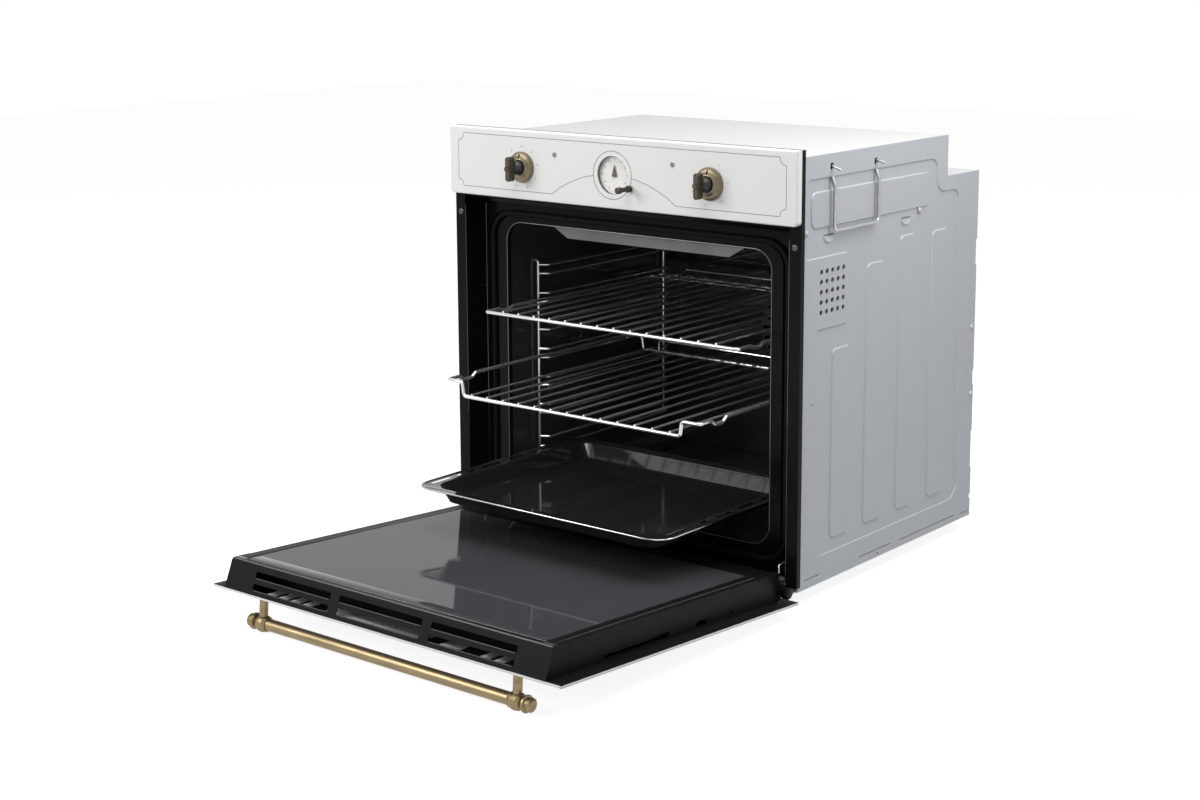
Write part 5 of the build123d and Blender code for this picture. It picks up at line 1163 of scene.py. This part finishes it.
# The lip and fold wires are painted highlights.
lips = both_sides("mouth_lip", MOUTH_PATH, "lip_highlight_enamel", width=2.2, bend=28, steps=12)
lip = joined(lips, "mouth_lip")
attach(lip, "oven")
folds, screws = [], []
for side in (-1, 1):
    for x, y, width in FOLDS:
        points = mirrored(side, [(x, y, FOLD_FOOT), (x, y, FOLD_TOP)])
        folds.append(bent_wire("fold", points, "lip_highlight_enamel", width, sides=8))
folds = joined(folds, "post_folds")
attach(folds, "oven")
for side in (-1, 1):
    place = mm(*FRAME_SCREW, side=side)
    screws.append(turned("frame_screw", SCREW_HEAD, place, FRONTWARDS, "satin_trim", 24))
    for place in (mm(*mark, side=side) for mark in FRAME_MARKS):
        screws.append(turned("mark", MARK_HEAD, place, FRONTWARDS, "satin_trim", 16))
screws = joined(screws, "frame_screws")
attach(screws, "oven")
for side, label in reversed(SIDES):
    points, name = mirrored(side, HOOK_PATH), f"hinge_hook_{label}"
    hook = bent_wire(name, points, "bright_wire", width=2.4, bend=4, sides=10, steps=4)
    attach(hook, "oven")
    place = mm(*CAP_PLACE, side=side)
    cam = turned(f"hinge_cap_{label}", CAP_RINGS, place, (side, 0, 0), "black_paint", 32)
    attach(cam, "oven")
print("frame edges in place")

# %% [markdown]
# ## The tray's rolled bead
# The bead at the tray's rim is bright metal: a painted highlight along the rolled rim.

# %% Tray bead
BEAD_X, BEAD_Y, BEAD_DROP = 215.9, 177.9, 1.1
front, back = TRAY_CENTRE[1] - BEAD_Y, TRAY_CENTRE[1] + BEAD_Y
corners = ((0, front), (BEAD_X, front), (BEAD_X, back), (0, back))
points = [(x, y, TRAY_RIM_Z - BEAD_DROP) for x, y in corners]
beads = both_sides("tray_bead", points, "bead_highlight_metal", width=2.2, bend=29, sides=10, steps=8)
bead = joined(beads, "tray_bead")
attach(bead, "tray")
tell(bead)

# %% [markdown]
# ## The studio
# The floor and the world are plain white to the camera and in reflections, and
# much dimmer to everything else, so the background can be white while the lamps
# alone decide how bright the oven is.

# %% Floor, world and lamps
FLOOR_SIZE, FLOOR_GAP, FLOOR_GREY, FLOOR_GLOW = 14.0, 0.0005, 0.42, 0.86
WORLD_DIM, WORLD_SEEN = 0.27, 1.0


def seen_directly(nodes, links):
    """1 for rays from the camera, from a mirror or through glass, and 0 for others."""
    rays = nodes.new("ShaderNodeLightPath")
    total = rays.outputs["Is Camera Ray"]
    for ray in ("Is Glossy Ray", "Is Transmission Ray"):
        either = nodes.new("ShaderNodeMath")
        either.operation = "MAXIMUM"
        links.new(total, either.inputs[0])
        links.new(rays.outputs[ray], either.inputs[1])
        total = either.outputs[0]
    return total


def softbox(name, place, aim, size, power):
    """An area lamp of a given size, turned towards a point."""
    data = bpy.data.lights.new(name, "AREA")
    data.shape = "RECTANGLE"
    data.size, data.size_y = size
    data.energy = power
    lamp = bpy.data.objects.new(name, data)
    scene.collection.objects.link(lamp)
    lamp.location = place
    lamp.rotation_euler = (Vector(aim) - Vector(place)).to_track_quat("-Z", "Y").to_euler()


begin()
floor_level = cad_box[0][2] - FLOOR_GAP
bpy.ops.mesh.primitive_plane_add(size=FLOOR_SIZE, location=(0, 0, floor_level))
floor = bpy.context.object
floor.name = "studio_floor"
floor_finish = Finish("studio_floor")
seen = Value(floor_finish, seen_directly(floor_finish.tree.nodes, floor_finish.tree.links))
floor_finish.set(
    Base_Color=(FLOOR_GREY,) * 3,
    Roughness=0.8,
    Specular_IOR_Level=0.0,
    Emission_Color=floor_finish.mix(seen, (0.0,) * 3, (FLOOR_GLOW,) * 3),
    Emission_Strength=1.0,
)
floor.data.materials.append(floor_finish.material)

world = bpy.data.worlds.new("studio")
scene.world = world
world.use_nodes = True
nodes, links = world.node_tree.nodes, world.node_tree.links
level = nodes.new("ShaderNodeMapRange")
level.inputs["To Min"].default_value = WORLD_DIM
level.inputs["To Max"].default_value = WORLD_SEEN
links.new(seen_directly(nodes, links), level.inputs["Value"])
nodes["Background"].inputs["Color"].default_value = (1, 1, 1, 1)
links.new(level.outputs[0], nodes["Background"].inputs["Strength"])

softbox("top_light", (0.5, -0.5, 2.4), (0.1, 0.0, 0.4), (1.8, 1.8), 38)
softbox("front_light", (-1.3, -1.9, 1.3), (0, 0, 0.4), (1.1, 1.1), 30)
softbox("side_light", (0.74, 0.25, 1.05), (0.28, 0.25, 0.45), (0.35, 0.6), 4.2)
print("studio with three lamps")
